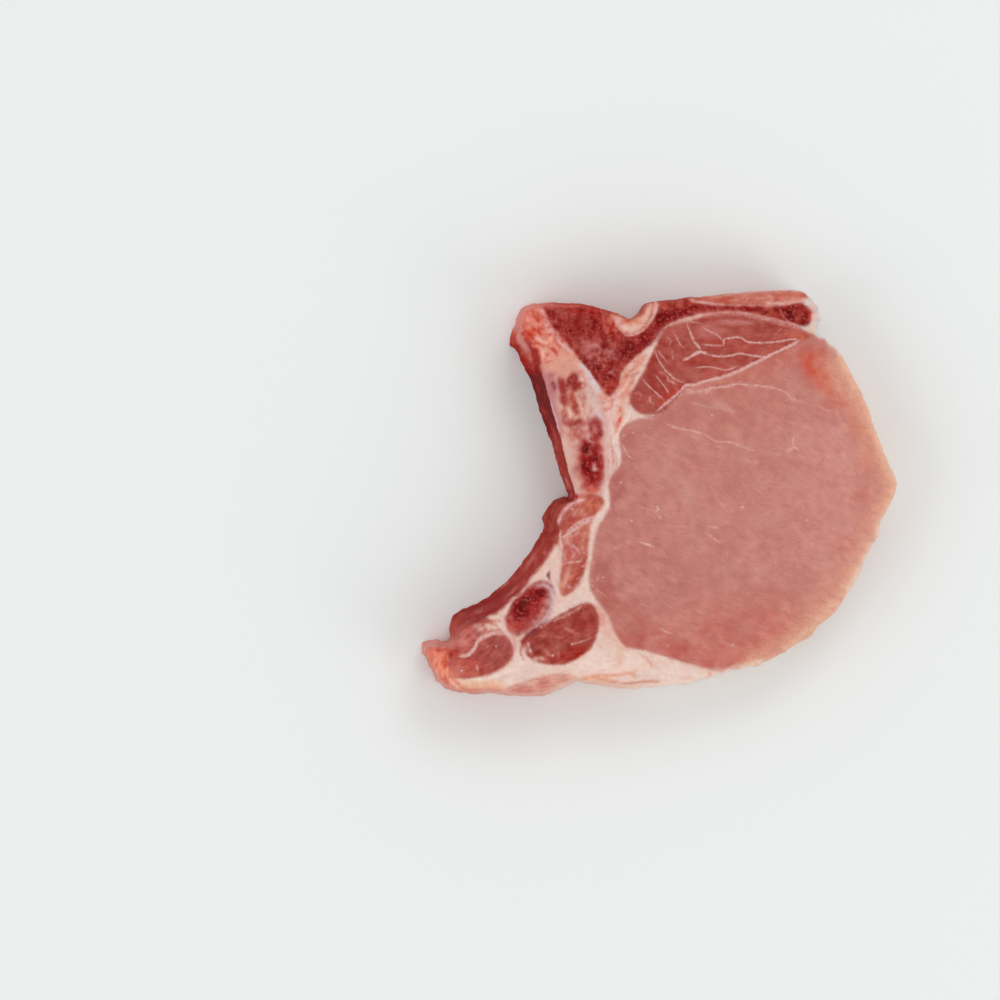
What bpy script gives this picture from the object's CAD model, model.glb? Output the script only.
"""Raw pork loin chop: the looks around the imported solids.

The chop's plan is drawn in millimetres, in the same places as the solids have it, with +X to the
right and +Y to the back. A fine mesh of the upper face is cut along the outlines of the muscles,
bones and fat. Colours are painted on its points in patches, lines and flecks, and the materials
add what is finer than the mesh: grain, speckle, ragged seams and moist gloss.
"""
import math

import bmesh
import bpy
import numpy as np
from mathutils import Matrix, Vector, noise
from mathutils.geometry import delaunay_2d_cdt, interpolate_bezier
from mathutils.kdtree import KDTree


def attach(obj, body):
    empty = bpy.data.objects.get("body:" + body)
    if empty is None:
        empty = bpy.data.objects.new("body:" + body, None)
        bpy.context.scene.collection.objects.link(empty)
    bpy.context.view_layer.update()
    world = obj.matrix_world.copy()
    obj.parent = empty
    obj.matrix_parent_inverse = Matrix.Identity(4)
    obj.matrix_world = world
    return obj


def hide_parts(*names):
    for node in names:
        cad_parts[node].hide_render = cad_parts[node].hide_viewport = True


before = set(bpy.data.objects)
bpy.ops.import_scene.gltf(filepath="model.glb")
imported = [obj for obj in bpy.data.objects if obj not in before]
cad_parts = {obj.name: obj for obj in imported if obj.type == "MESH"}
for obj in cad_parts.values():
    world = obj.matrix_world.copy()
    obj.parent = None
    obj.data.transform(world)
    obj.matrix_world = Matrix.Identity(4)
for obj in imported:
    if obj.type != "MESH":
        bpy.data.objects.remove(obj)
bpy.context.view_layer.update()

MM = 0.001
THICKNESS = 20.0        # how thick the chop was cut
FOOT_RADIUS = 1.5       # rounding of the lower rim
FLARE_REACH = 11.0      # how far inside the edge the slanting of the sides is still felt
FLARE_POWER = 1.3       # how hollow the slanting sides are, 1 being straight
DOME_REACH = 6.0        # how far inside its border a muscle reaches its full height
COARSE_STEP = 3.0       # spacing of the edge points that steer the slanting sides
FINE_STEP = 0.305     # spacing of the points of the upper face
DOT_STEP = 0.1          # spacing of the edge points that distances to the edge are measured to
UNDER_STEP = 1.1        # spacing of the points of the lower face
SIDE_STEP = 0.75        # spacing of the rows down the sides
WELD = 0.3              # points closer than this part of the spacing become one
SOFTEN = 2              # rounds of blending the colours of neighbouring points
chance = np.random.default_rng(11)

# The edge of the upper face, clockwise from its back left corner.
BACK_EDGE = [(-39, 52.5), (-33.5, 53.5), (-25, 54), (-16, 52.5), (-9, 50), (-6, 51.5), (-3, 54.5),
             (8.5, 56), (37, 58.5), (43, 56.5)]
ROUND_EDGE = [(46.5, 51), (45, 46), (51.5, 40.5), (59, 27.5), (64.5, 12.5), (68.5, 1.5),
              (64.5, -8.5), (59.5, -20), (53, -32), (42, -42.5), (31.5, -49)]
FAT_EDGE = [(11.5, -54.5), (-6, -56.5), (-20.5, -55), (-24.5, -54.5), (-35, -58.5), (-48, -58),
            (-61, -57), (-65.5, -52), (-68, -45.5)]
MEMBRANE_EDGE = [(-61, -45), (-57.5, -39.5), (-48, -35), (-38.5, -26), (-32.5, -17.5),
                 (-29.5, -12), (-30, -8.5), (-28.5, -4.5), (-24.5, -2)]
SAWN_EDGE = [(-27, 6.5), (-30, 18.5), (-33.5, 30.5), (-37.5, 42), (-40.5, 45)]
OUTLINE = BACK_EDGE + ROUND_EDGE + FAT_EDGE + MEMBRANE_EDGE + SAWN_EDGE

# Small tags of membrane and fat that stand out of the edge: place, radius and push.
TAGS = [((-68, -44.6), 0.9, 1.0), ((-65.8, -47.2), 0.6, -0.9), ((-66.2, -50.4), 0.8, 0.4),
        ((-65.2, -53.4), 0.5, -0.6), ((-64.6, -56.4), 0.8, 0.9), ((-60.8, -44.2), 0.6, -0.6),
        ((28.3, -51), 1.5, 1.2), ((36.6, -47.5), 0.7, 1.6), ((43, -42.5), 2.6, 1.1),
        ((62.8, -13), 2.2, 0.9), ((69, 2), 0.6, 0.7), ((50, -35), 3.0, 0.5),
        ((-67.5, -47), 1.0, 0.8), ((-66, -55), 0.9, 0.8), ((-61, -42), 0.8, 0.7),
        ((47, 43.5), 1.0, 0.5), ((-7, -56.8), 1.2, 0.5)]

UNEVEN = 0.22             # how far the outlines wander from their smooth course
TAIL_UNEVEN = 0.5         # how much more they do round the tip of the tail
TAIL_TIP = (-67, -52)
TAIL_REACH = (5, 8)

# Each piece's outline. A later piece cuts the earlier ones, and the edge of the chop cuts them
# all. What no outline holds is the fat.
PIECES = {
    "eye_muscle": [(-12, 17), (-8, 20.5), (0.5, 23), (6, 31), (16.5, 36), (34, 43.5), (44, 45),
                   (52, 42.5), (57, 35), (64, 24), (69, 10.5), (71.5, 1), (69, -9.5),
                   (64, -20.5), (57, -34), (46, -44), (36, -50), (24.5, -54.5), (15, -52),
                   (6, -49.5), (-4, -46.5), (-11.5, -44), (-16, -35), (-20.5, -28.5),
                   (-20.5, -21.5), (-18.5, -11.5), (-15, -4.5), (-15, 3), (-11.5, 9)],
    "multifidus_muscle": [(-9, 26.5), (-5, 35), (-1.5, 42), (2, 47.5), (9, 49.5), (17, 51),
                          (26, 50.5), (39.5, 47), (44, 46), (41, 43.5), (29.5, 38), (17.5, 33),
                          (11.5, 31.5), (7, 29.5), (0.5, 23), (-5.5, 22.5)],
    "ligament": [(-41, 55.5), (-32, 55), (-30, 49), (-26.5, 44), (-21.5, 39.5), (-18.5, 34),
                 (-15.5, 29), (-13.5, 26), (-16, 23), (-21, 27), (-27.5, 35), (-33.5, 34),
                 (-38, 37.5), (-43, 44), (-44, 51)],
    "rib_head": [(-35.5, 33.5), (-32, 37.5), (-27.5, 38), (-23.5, 35), (-18.5, 27.5),
                 (-16, 22.5), (-15.5, 12), (-15.5, 4), (-17.5, -1.5), (-24.5, -3),
                 (-29.5, -0.5), (-31, 12.5), (-34, 20.5), (-37, 28.5)],
    "intercostal_muscle": [(-32, -14), (-32, -8.5), (-30, -3.5), (-26.5, -1), (-17.5, -1.5),
                           (-17, -4.5), (-20, -8.5), (-21, -15.5), (-22, -22.5), (-24.5, -28),
                           (-28.5, -30.5), (-29.5, -28), (-29, -23.5), (-29, -17)],
    "strip_muscle": [(5.5, 55.5), (8.5, 59.5), (21.5, 61), (37.5, 61.5), (45, 59.5), (43.5, 55),
                     (31.5, 53), (21.5, 53), (11.5, 54)],
    "tip_cartilage": [(39.5, 49), (42, 55.5), (45, 57), (49, 55.5), (49, 48), (45.5, 45.5),
                      (41.5, 46.5)],
    "feather_bone": [(-33.5, 55.5), (-20, 56.5), (-13.5, 52), (-11.5, 46.5), (-8.5, 45.5),
                     (-5.5, 46.5), (-2.5, 51), (-1.5, 57), (3, 58.5), (9, 56.5), (20, 54),
                     (36, 54), (40.5, 54.5), (43.5, 51.5), (42, 48), (34.5, 49.5), (23, 52),
                     (10, 51), (1.5, 48), (-2.5, 43), (-10.5, 36), (-13, 29.5), (-15.5, 28),
                     (-20, 33.5), (-26.5, 42), (-32.5, 49.5)],
    "canal_fat": [(-14.5, 51.5), (-12, 54), (-8.5, 53), (-5.5, 55.5), (-3, 58.5), (-0.5, 57.5),
                  (-1, 52.5), (-4, 47.5), (-8.5, 45), (-11.5, 46)],
    "rib_tip": [(-45, -39), (-44.5, -35), (-39.5, -28.5), (-34, -26), (-31.5, -28.5),
                (-33, -35.5), (-38, -40.5), (-42.5, -42)],
    "flank_muscle": [(-40.5, -45), (-39, -41.5), (-33, -38), (-21.5, -32.5), (-18, -37.5),
                     (-20.5, -45.5), (-27.5, -50), (-36, -49.5)],
    "tail_muscle": [(-62, -50), (-62.5, -44.5), (-60, -38.5), (-56, -35.5), (-51, -36.5),
                    (-47, -39.5), (-43.5, -44), (-43, -48), (-46.5, -51.5), (-52.5, -54),
                    (-60.5, -54)],
    "tail_end": [(-71.5, -44.5), (-66, -40), (-61.5, -41.5), (-61.5, -47), (-61.5, -52),
                 (-57, -58), (-62.5, -61), (-69, -58), (-71.5, -51.5)],
    "skirt_muscle": [(-47.5, -61.5), (-45.5, -57.5), (-40.5, -55.5), (-30.5, -53),
                     (-24.5, -54), (-22.5, -57), (-28.5, -61), (-41, -63)],
}

NAMES = ["fat", *PIECES]

# How the side runs near each place: how far the foot stands out past the upper edge, the radius
# of the upper rim, how rough the side is, and its colour.
SIDES = [
    ((0, 57), 1.0, 1.5, 0.35, (170, 74, 64)),
    ((22, 58), 1.0, 1.5, 0.25, (194, 116, 102)),
    ((45, 55), 1.0, 1.5, 0.2, (220, 202, 195)),
    ((60, 25), 0.0, 4.5, 0.25, (228, 184, 164)),
    ((68, 0), 0.0, 5.0, 0.25, (229, 187, 167)),
    ((50, -36), 0.0, 4.5, 0.3, (230, 194, 177)),
    ((28, -50), 0.6, 3.5, 0.4, (232, 202, 185)),
    ((10, -55), 1.5, 3.0, 0.45, (234, 206, 192)),
    ((-25, -55), 2.0, 2.5, 0.4, (227, 180, 161)),
    ((-40, -59), 2.0, 2.5, 0.4, (212, 144, 130)),
    ((-66, -52), 2.0, 2.5, 0.7, (208, 122, 106)),
    ((-50, -36), 5.0, 1.2, 0.35, (142, 42, 40)),
    ((-32, -16), 5.0, 1.2, 0.35, (154, 50, 42)),
    ((-27, 5), 2.5, 1.2, 0.3, (154, 46, 40)),
    ((-33, 30), 3.5, 1.2, 0.35, (108, 2, 2)),
    ((-40, 40), 5.0, 1.5, 0.45, (154, 32, 25)),
    ((-40, 52), 2.5, 1.5, 0.45, (210, 106, 90)),
    ((-20, 54), 1.5, 1.5, 0.4, (170, 58, 48)),
]
FLARE, RIM, LUMPS, TINT = range(1, 5)     # the columns of SIDES
SIDE_FLESH = (216, 132, 116)    # what shows through the sides in blotches

# Single spots on the sides: place, radii, colour and strength.
SIDE_SPOTS = [
    ((-40.6, 44.6, 14), (1.6, 2.6, 5), (220, 132, 114), 0.8),
    ((-40.2, 41.4, 13), (1.7, 2.8, 5), (228, 158, 140), 1.1),
    ((-38.8, 38, 12), (1.2, 2.6, 4), (224, 148, 130), 1.1),
    ((-37.6, 35, 11.5), (0.8, 2.2, 2.6), (214, 130, 112), 0.9),
    ((-42, 53, 12), (6, 5, 9), (204, 96, 82), 0.7),
    ((-31, 16, 9), (3, 5, 3), (180, 92, 84), 0.6),
    ((-27, 2, 8), (3, 3, 5), (196, 108, 94), 0.6),
    ((-51, -38, 9), (5, 4, 2), (202, 126, 112), 0.6),
    ((-43, -30, 13), (3, 4, 1.6), (196, 112, 98), 0.6),
    ((-37, -21, 6), (3, 4, 2.4), (200, 124, 110), 0.6),
    ((-45.5, -27.5, 2.5), (2, 2, 1.2), (210, 118, 100), 0.7),
    ((-62, -41, 8), (5, 3, 9), (186, 74, 62), 0.8),
    ((-66, -43, 5), (1.6, 2, 4), (222, 132, 112), 0.8),
    ((-9, 50, 9), (3, 3, 9), (206, 132, 114), 0.6),
    ((12, 57, 5), (5, 3, 3), (206, 138, 122), 0.6),
    ((30, 59, 12), (6, 3, 2), (214, 150, 134), 0.6),
]

# The height of each piece's middle above its border.
DOMES = {"eye_muscle": 0.8, "multifidus_muscle": 0.6, "rib_head": -0.3, "intercostal_muscle": 0.3,
         "strip_muscle": 0.2, "feather_bone": -0.3, "canal_fat": 0.2, "rib_tip": -0.3,
         "flank_muscle": 0.6, "tail_muscle": 0.6, "tail_end": 0.2, "skirt_muscle": 0.2}


# ---------------------------------------------------------------- what is painted where

# Colours are of 255, as the eye sees them.
SEAM_WHITE = (219, 170, 162)
BASE = {                # what each piece is painted with first
    "fat": (228, 196, 184),
    "eye_muscle": (195, 129, 119),
    "multifidus_muscle": (165, 78, 70),
    "ligament": (217, 134, 115),
    "rib_head": (211, 162, 150),
    "intercostal_muscle": (186, 98, 86),
    "strip_muscle": (194, 104, 89),
    "tip_cartilage": (208, 197, 192),
    "feather_bone": (162, 50, 44),
    "canal_fat": (222, 172, 156),
    "rib_tip": (204, 142, 133),
    "flank_muscle": (163, 75, 67),
    "tail_muscle": (172, 82, 75),
    "tail_end": (231, 131, 103),
    "skirt_muscle": (211, 147, 134),
}

# Patches of colour: middle, radii along and across, colour, and where they are not the usual ones,
# strength and turn in degrees.
PATCHES = {
    "eye_muscle": [
        ((-8, -12), (13, 30), (189, 121, 113), 0.7),
        ((50, -2), (14, 28), (208, 143, 133), 0.8),
        ((14, 24), (24, 8), (190, 118, 108), 0.7, 8),
        ((28, 36), (15, 4), (191, 106, 94), 0.8, 22),
        ((16, 32.6), (9, 1.3), (204, 132, 118), 0.8, 18),
        ((2, 0), (7, 11), (200, 138, 126), 0.6, 10),
        ((20, -41), (26, 9), (194, 110, 99), 0.8, 8),
        ((-11, 15.5), (3.5, 4.5), (182, 106, 100), 0.7),
        ((-13.3, 1), (2.6, 4.5), (174, 96, 92), 0.7),
        ((-17, -24), (3.2, 5), (176, 100, 93), 0.7),
        ((-15.5, -31), (4, 5), (174, 94, 84), 0.7, 35),
        ((-9, -37.5), (7, 4.5), (184, 102, 92), 0.6, -45),
        ((-7, -44), (8, 2.4), (184, 90, 80), 0.7, -12),
        ((8, -47), (9, 2.4), (188, 92, 82), 0.8, -12),
        ((19, -48), (8, 3.2), (196, 98, 86), 0.8),
        ((32, -42), (8, 4.5), (202, 106, 94), 0.7, 28),
        ((44.2, 36.6), (4.4, 3.8), (203, 84, 65), 0.95, -35),
        ((46.6, 33), (3.4, 3.4), (203, 90, 72), 0.9, -50),
        ((49.8, 28.6), (4.4, 2.6), (206, 108, 88), 0.75, -50),
        ((52, 25.6), (2.6, 1.0), (204, 100, 84), 0.5),
        ((57.4, 21), (3.2, 5), (214, 122, 98), 0.85, 20),
        ((60, 9), (2.4, 4), (212, 128, 108), 0.7),
        ((58, -1), (3, 2), (210, 124, 108), 0.5),
        ((53, -16), (3, 3), (206, 122, 110), 0.5),
        ((48, 24), (3, 1.6), (198, 112, 102), 0.5),
    ],
    "fat": [
        ((-11, 30), (3.5, 4.5), (216, 138, 118), 0.9, -25),
        ((-6.5, 37), (3.2, 1.6), (220, 150, 128), 0.9, 45),
        ((-14, 15), (2.4, 12), (222, 184, 176), 0.8),
        ((-16.5, -4), (2, 7), (230, 202, 190)),
        ((-30.5, -20), (2.4, 6), (224, 186, 172), 0.7, -25),
        ((-21, -27), (4, 4), (230, 202, 190), 0.7),
        ((-45, -38), (5, 2.5), (224, 184, 172), 0.9, 30),
        ((-50.5, -38.5), (5, 1.6), (238, 214, 198), 0.9, -10),
        ((-43, -43), (2, 3), (222, 172, 164), 0.8),
        ((-52, -55.8), (7, 1.6), (232, 182, 150)),
        ((-58, -55.5), (3, 1.6), (238, 212, 190), 0.8, -20),
        ((-15, -50), (14, 3.5), (236, 208, 194), 0.8, -3),
        ((4, -52.5), (9, 2), (236, 208, 196), 0.8, -14),
        ((-12.5, -45), (2.6, 4), (228, 184, 162), 0.7, 25),
        ((-16, -39.5), (1.6, 5), (226, 176, 162), 0.8, 12),
        ((-17.6, -36), (1.2, 3), (214, 146, 128), 0.7, 20),
        ((44, 45.2), (3.4, 1.6), (225, 176, 152)),
        ((48, 42.5), (2.2, 1.6), (232, 186, 172), 0.9, -30),
        ((8, 49.2), (5, 1.0), (206, 138, 124), 0.9, 12),
        ((0, 46), (3, 0.9), (178, 108, 104), 0.8, 50),
    ],
    "multifidus_muscle": [
        ((14.5, 46.6), (4.6, 2.4), (188, 108, 101), 1.0, 10),
        ((30, 47.4), (12, 1.9), (160, 70, 62), 0.9, -4),
        ((21, 48.8), (4.4, 0.8), (198, 132, 124), 0.9, -2),
        ((34, 44.6), (6, 1.0), (178, 88, 76), 0.7, -4),
        ((39.6, 45.4), (4, 1.8), (194, 98, 80), 0.9, -10),
        ((22, 42), (9, 1.6), (174, 74, 64), 0.9, -6),
        ((33, 41.4), (5, 1.2), (188, 92, 80), 0.8, 8),
        ((15, 37.4), (9, 1.4), (162, 60, 52)),
        ((15, 34.2), (7, 1.3), (184, 94, 82), 0.9, 14),
        ((4, 46), (4, 2.4), (178, 92, 84), 0.9, 30),
        ((6.4, 42.8), (2.4, 1.6), (182, 96, 86), 0.8),
        ((4.6, 37.6), (2.6, 3), (176, 88, 80)),
        ((-1.5, 31), (3.6, 2.2), (152, 50, 44), 0.9, -50),
        ((2.4, 28), (3.4, 1.6), (178, 68, 56), 0.9, 40),
        ((-5.4, 26), (2.8, 3), (172, 84, 78)),
        ((-6.6, 30), (1.4, 2.4), (150, 70, 70), 0.8, 30),
        ((-0.5, 42), (2, 2.4), (158, 62, 56), 0.8),
        ((-2.6, 38), (1.4, 3), (154, 54, 48), 0.8, -30),
        ((2, 36), (5, 3), (164, 70, 64), 0.5, -50),
        ((-3, 29), (6, 5), (160, 70, 62), 0.4),
    ],
    "ligament": [
        ((-37.6, 50), (3.2, 3), (216, 122, 102)),
        ((-38, 52.4), (2.2, 0.8), (206, 112, 98), 0.8, 10),
        ((-38.2, 48), (1.6, 1.6), (226, 142, 122), 0.8),
        ((-36.6, 46), (2, 2.6), (200, 76, 58), 0.7, -30),
        ((-38.8, 45.4), (2.6, 1.6), (206, 84, 66), 0.9, 20),
        ((-39.6, 42.4), (1.4, 1.2), (226, 160, 152), 1.0),
        ((-34.8, 44), (2.2, 1.2), (230, 164, 146)),
        ((-34.4, 40), (1.4, 2.6), (228, 156, 138), 0.8, 10),
        ((-31, 40.6), (2.6, 1.6), (222, 142, 122), 0.8, -40),
        ((-30, 37), (4.4, 2.2), (219, 153, 135)),
        ((-25, 37), (4, 2), (218, 150, 132), 0.9, -38),
        ((-31, 38.6), (5, 2.4), (222, 152, 134), 0.7, -30),
        ((-22, 35), (1.6, 3.4), (226, 188, 180), 0.8, 38),
        ((-19.5, 31), (1.4, 4), (226, 206, 204), 1.0, 26),
        ((-16.5, 26), (3, 3), (222, 178, 168)),
        ((-37, 40.6), (1.2, 0.8), (170, 38, 28), 0.8),
        ((-35.6, 37.4), (0.9, 3.6), (122, 10, 8), 1.0, 12),
    ],
    "rib_head": [
        ((-28.5, 34.6), (4, 2.2), (219, 156, 138)),
        ((-20, 25), (2.4, 7), (218, 184, 174), 0.9, 10),
        ((-25, 26), (3.2, 9), (209, 146, 131), 0.9, 8),
        ((-31.6, 31), (1.2, 3.6), (180, 104, 106), 0.9, 12),
        ((-25.6, 31.6), (1.6, 2.3), (140, 38, 36), 1.4, -6),
        ((-23.6, 30.6), (1.7, 1.0), (148, 44, 40), 1.3, 10),
        ((-28.6, 30.2), (1.1, 2.6), (156, 56, 52), 1.3, 12),
        ((-28.4, 26.8), (1.1, 2.2), (160, 60, 54), 1.2, 15),
        ((-26, 27.2), (0.8, 1.2), (184, 72, 56), 1.0),
        ((-24.9, 24.4), (0.7, 2.2), (164, 58, 50), 1.3, 10),
        ((-24.6, 19.6), (2.4, 1.2), (154, 54, 50), 1.4),
        ((-27.9, 21.2), (0.8, 2.4), (172, 86, 82), 1.0, 10),
        ((-24.8, 16.8), (2.4, 1.6), (186, 102, 94), 1.0),
        ((-26.6, 14), (1.0, 1.4), (216, 160, 146), 0.8),
        ((-18.8, 17.6), (1.8, 3.4), (158, 60, 60), 1.3, -5),
        ((-19.2, 17.6), (0.8, 0.9), (208, 138, 134)),
        ((-20, 8), (3.7, 7.4), (172, 60, 56), 1.2, 3),
        ((-20.3, 8.2), (2.6, 5.4), (138, 24, 24), 1.2, 3),
        ((-17.4, 10.6), (0.8, 2.4), (178, 78, 74), 0.7),
        ((-21.6, 12.2), (1.2, 1.2), (84, 10, 14), 1.1),
        ((-19.2, 9.6), (1.1, 0.5), (86, 10, 14), 1.0),
        ((-22.4, 7.8), (0.7, 1.4), (96, 14, 18)),
        ((-20.8, 5.6), (0.9, 0.7), (92, 14, 16)),
        ((-20.2, 3.4), (0.8, 1.0), (112, 20, 22)),
        ((-20.6, 1.8), (2.0, 0.7), (178, 62, 52), 0.8),
        ((-20.3, 10.9), (0.5, 0.7), (182, 108, 96), 0.8, 30),
        ((-19.5, 7.5), (0.5, 0.8), (206, 150, 140), 1.0),
        ((-19.2, 6.3), (0.8, 0.5), (226, 190, 182), 1.1),
        ((-21.2, 0.2), (0.8, 0.4), (198, 66, 46), 1.0),
        ((-19, 0.1), (1.4, 0.5), (212, 112, 90), 0.8),
        ((-20.4, -1.2), (2, 0.6), (210, 126, 104), 0.8),
    ],
    "intercostal_muscle": [
        ((-20.6, -4), (3.2, 2), (200, 110, 88), 0.9, -10),
        ((-26, -5), (2, 2.4), (186, 98, 88), 0.8),
        ((-23, -6.2), (2.4, 1.2), (200, 122, 106), 0.7),
        ((-25.6, -8.8), (2.4, 1.1), (172, 70, 60), 0.9, 24),
        ((-22.8, -13), (1.6, 2.6), (204, 120, 100), 0.9, -15),
        ((-27, -14), (1.2, 1.8), (222, 158, 146), 0.8, -20),
        ((-26, -18.4), (1.5, 1.9), (192, 94, 88), 1.0),
        ((-27.4, -20.6), (1.2, 0.9), (170, 70, 60)),
        ((-24.4, -25), (1.2, 4.4), (180, 84, 72), 1.0, -32),
        ((-27.6, -25.5), (0.9, 3.6), (214, 148, 128), 1.0, -24),
        ((-28.9, -24), (0.6, 2.4), (186, 100, 86), 0.8, -14),
        ((-26.6, -27.8), (0.6, 0.5), (232, 206, 200)),
    ],
    "strip_muscle": [
        ((16, 56.4), (7, 0.9), (186, 80, 66), 0.9, 3),
        ((28, 56), (6, 0.9), (202, 126, 112), 0.8, 3),
        ((38, 57.2), (5, 1.5), (196, 102, 84)),
        ((37, 55.6), (5, 0.6), (206, 132, 118), 0.8),
    ],
    "tip_cartilage": [
        ((43.9, 51.5), (0.9, 3.6), (222, 170, 162)),
        ((46, 54), (1.5, 2), (214, 204, 196), 0.7),
        ((44.5, 46.8), (2.2, 0.9), (226, 184, 158)),
    ],
    "feather_bone": [
        ((-24, 48), (7, 3.4), (142, 42, 38), 0.8, -20),
        ((-23, 52.6), (8, 0.9), (184, 54, 42)),
        ((-17.6, 51), (4, 1.6), (176, 46, 36), 0.9, -20),
        ((-29.6, 51.6), (1.8, 1.0), (170, 82, 76), 0.7),
        ((-31, 50), (0.8, 3), (176, 82, 80), 0.8, 32),
        ((-19.4, 40.4), (5.6, 3.8), (196, 120, 114), 1.0),
        ((-24, 40.2), (1.0, 0.9), (158, 40, 34), 1.0),
        ((-21, 36.8), (1.2, 1.6), (150, 50, 46), 0.8, 20),
        ((-25.4, 42.2), (0.9, 0.6), (212, 110, 94), 0.9, -40),
        ((-14.4, 49.6), (1.8, 2.8), (206, 80, 60)),
        ((-14.6, 49.4), (0.6, 0.8), (240, 172, 142), 1.0),
        ((-15.4, 46.2), (1.2, 0.6), (224, 122, 108)),
        ((-13.6, 46.6), (0.5, 0.5), (236, 160, 140)),
        ((-14.4, 51.4), (1.6, 0.6), (216, 120, 100), 0.8),
        ((-9.6, 41), (2.4, 2.4), (100, 10, 14), 1.0),
        ((-5.4, 43.8), (1.1, 0.8), (90, 12, 16), 1.0),
        ((-1.4, 49.4), (1.8, 1.4), (108, 18, 22), 0.9, 40),
        ((-3.4, 45.6), (1.4, 1.0), (128, 30, 30), 0.8, 40),
        ((-18.8, 35.8), (1.1, 0.9), (98, 14, 18), 1.0),
        ((-15, 37.2), (0.8, 0.5), (116, 26, 28)),
        ((-11.6, 38.4), (0.8, 1.0), (110, 20, 22)),
        ((-16.4, 32.6), (2.4, 2.6), (140, 36, 36), 0.9, 20),
        ((-16.6, 35), (0.6, 0.6), (98, 14, 18)),
        ((-13.8, 35), (0.8, 1.2), (204, 150, 144), 0.8, -20),
        ((-14, 31), (0.9, 0.7), (196, 54, 38)),
        ((-15.2, 29.2), (0.9, 0.5), (202, 44, 28), 1.1),
        ((-16.4, 29.4), (0.5, 0.4), (240, 180, 156), 1.1),
        ((-10, 34.6), (2.2, 2.8), (190, 90, 78), 0.9, -40),
        ((-5.8, 38.6), (1.6, 0.8), (192, 108, 98), 0.9, 40),
        ((-8, 37.6), (1.0, 0.9), (208, 130, 120), 0.8),
        ((-3.6, 41.6), (3, 0.8), (158, 96, 98), 1.0, 48),
        ((4, 54), (5, 1.2), (190, 80, 64), 0.9, 5),
        ((5.4, 52), (3.6, 1.2), (116, 18, 22), 0.8, 12),
        ((1, 50.4), (2, 1.4), (112, 20, 22), 0.8),
        ((20, 53.2), (10, 0.8), (142, 28, 26), 0.8),
        ((15, 52.4), (4, 0.5), (168, 66, 56), 0.7, 4),
        ((26, 52.6), (4, 0.8), (160, 42, 34), 0.8),
        ((39.4, 51.2), (3.8, 2.8), (104, 4, 6), 1.3),
        ((31.5, 51.4), (2.4, 1.2), (172, 62, 48), 0.8, -10),
        ((33.6, 49.4), (1.4, 0.6), (212, 112, 90), 0.9, -20),
        ((43, 51.2), (0.6, 2.6), (200, 74, 62)),
    ],
    "canal_fat": [
        ((-12.6, 48.9), (1.3, 1.3), (206, 112, 100)),
        ((-12.4, 49.2), (0.6, 0.7), (226, 166, 174), 1.0),
        ((-8, 48.8), (3, 0.7), (212, 128, 98)),
        ((-6, 51.2), (1.4, 0.8), (212, 122, 94), 0.9, 40),
        ((-11, 46), (2, 0.6), (208, 120, 108), 0.7, -10),
    ],
    "rib_tip": [
        ((-35, -28), (3.6, 1.4), (198, 154, 152), 0.9, -20),
        ((-32, -32.6), (1.2, 4.4), (190, 158, 158), 1.0, 6),
        ((-36, -39), (3, 1.2), (198, 136, 134), 0.9, 50),
        ((-43.4, -33), (1.6, 6), (222, 170, 158), 0.9, -45),
        ((-39.2, -33.8), (4.0, 7.3), (182, 80, 74), 1.2, -44),
        ((-39, -32.8), (3.0, 5.7), (154, 42, 40), 1.2, -44),
        ((-35.2, -29.6), (1.5, 1.2), (108, 10, 14), 1.1),
        ((-40.6, -35), (2.2, 1.7), (104, 16, 20), 0.9, -40),
        ((-39.6, -32.2), (1.2, 1.6), (92, 34, 30), 1.0, -44),
        ((-37.6, -30.8), (0.9, 0.7), (84, 8, 12)),
        ((-42.6, -33), (0.8, 1.2), (122, 26, 28)),
        ((-41.6, -36.8), (0.8, 1.0), (108, 20, 24)),
        ((-36, -33.6), (1.4, 2.6), (172, 60, 56), 0.8, -40),
        ((-43, -39), (1.6, 1.4), (188, 74, 66), 1.0),
        ((-40.6, -39.4), (1.4, 0.9), (178, 64, 58)),
    ],
    "flank_muscle": [
        ((-37.2, -40.8), (2.6, 1.2), (116, 40, 44), 1.0, 25),
        ((-22.5, -36.6), (3.2, 3.2), (154, 54, 47)),
        ((-31, -40.6), (5, 1.8), (168, 74, 64), 0.8, 15),
        ((-30, -43.6), (7, 1.2), (172, 86, 76), 0.8, 12),
        ((-34, -43.6), (3, 1.6), (148, 58, 52), 0.8),
        ((-25, -47.4), (6, 2), (156, 42, 34), 1.0, 12),
        ((-35, -47.6), (3.6, 1.0), (156, 54, 44), 0.8, -8),
        ((-38, -46), (0.9, 1.4), (108, 26, 28), 1.0),
        ((-35.8, -46.6), (1.4, 0.7), (120, 28, 26)),
        ((-35.2, -48.6), (1.6, 0.6), (236, 204, 186), 1.1),
        ((-39.2, -46.8), (0.6, 2.0), (232, 198, 188), 1.1, 10),
    ],
    "tail_muscle": [
        ((-57.5, -42.5), (3.8, 4.2), (196, 106, 96), 1.1),
        ((-57.4, -43.4), (1.6, 2), (206, 126, 116)),
        ((-48.4, -46.4), (4.4, 4.6), (164, 80, 75), 1.1),
        ((-52.4, -47.4), (1.8, 1.6), (156, 66, 60), 0.7),
        ((-45.6, -43), (2, 1.4), (170, 88, 86), 0.8),
        ((-56.5, -50.2), (4.4, 2.2), (186, 80, 68), 1.0),
        ((-59.6, -52.4), (2.4, 1.8), (208, 118, 104), 1.0),
        ((-55, -53), (2.6, 0.8), (204, 108, 90), 0.8),
        ((-60.4, -47.2), (2.0, 0.9), (156, 38, 32), 1.0, 15),
        ((-60.2, -41.8), (0.7, 1.6), (160, 44, 40), 0.9, -30),
        ((-50.5, -39.6), (3.6, 1.2), (234, 200, 184), 1.1, -5),
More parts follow.
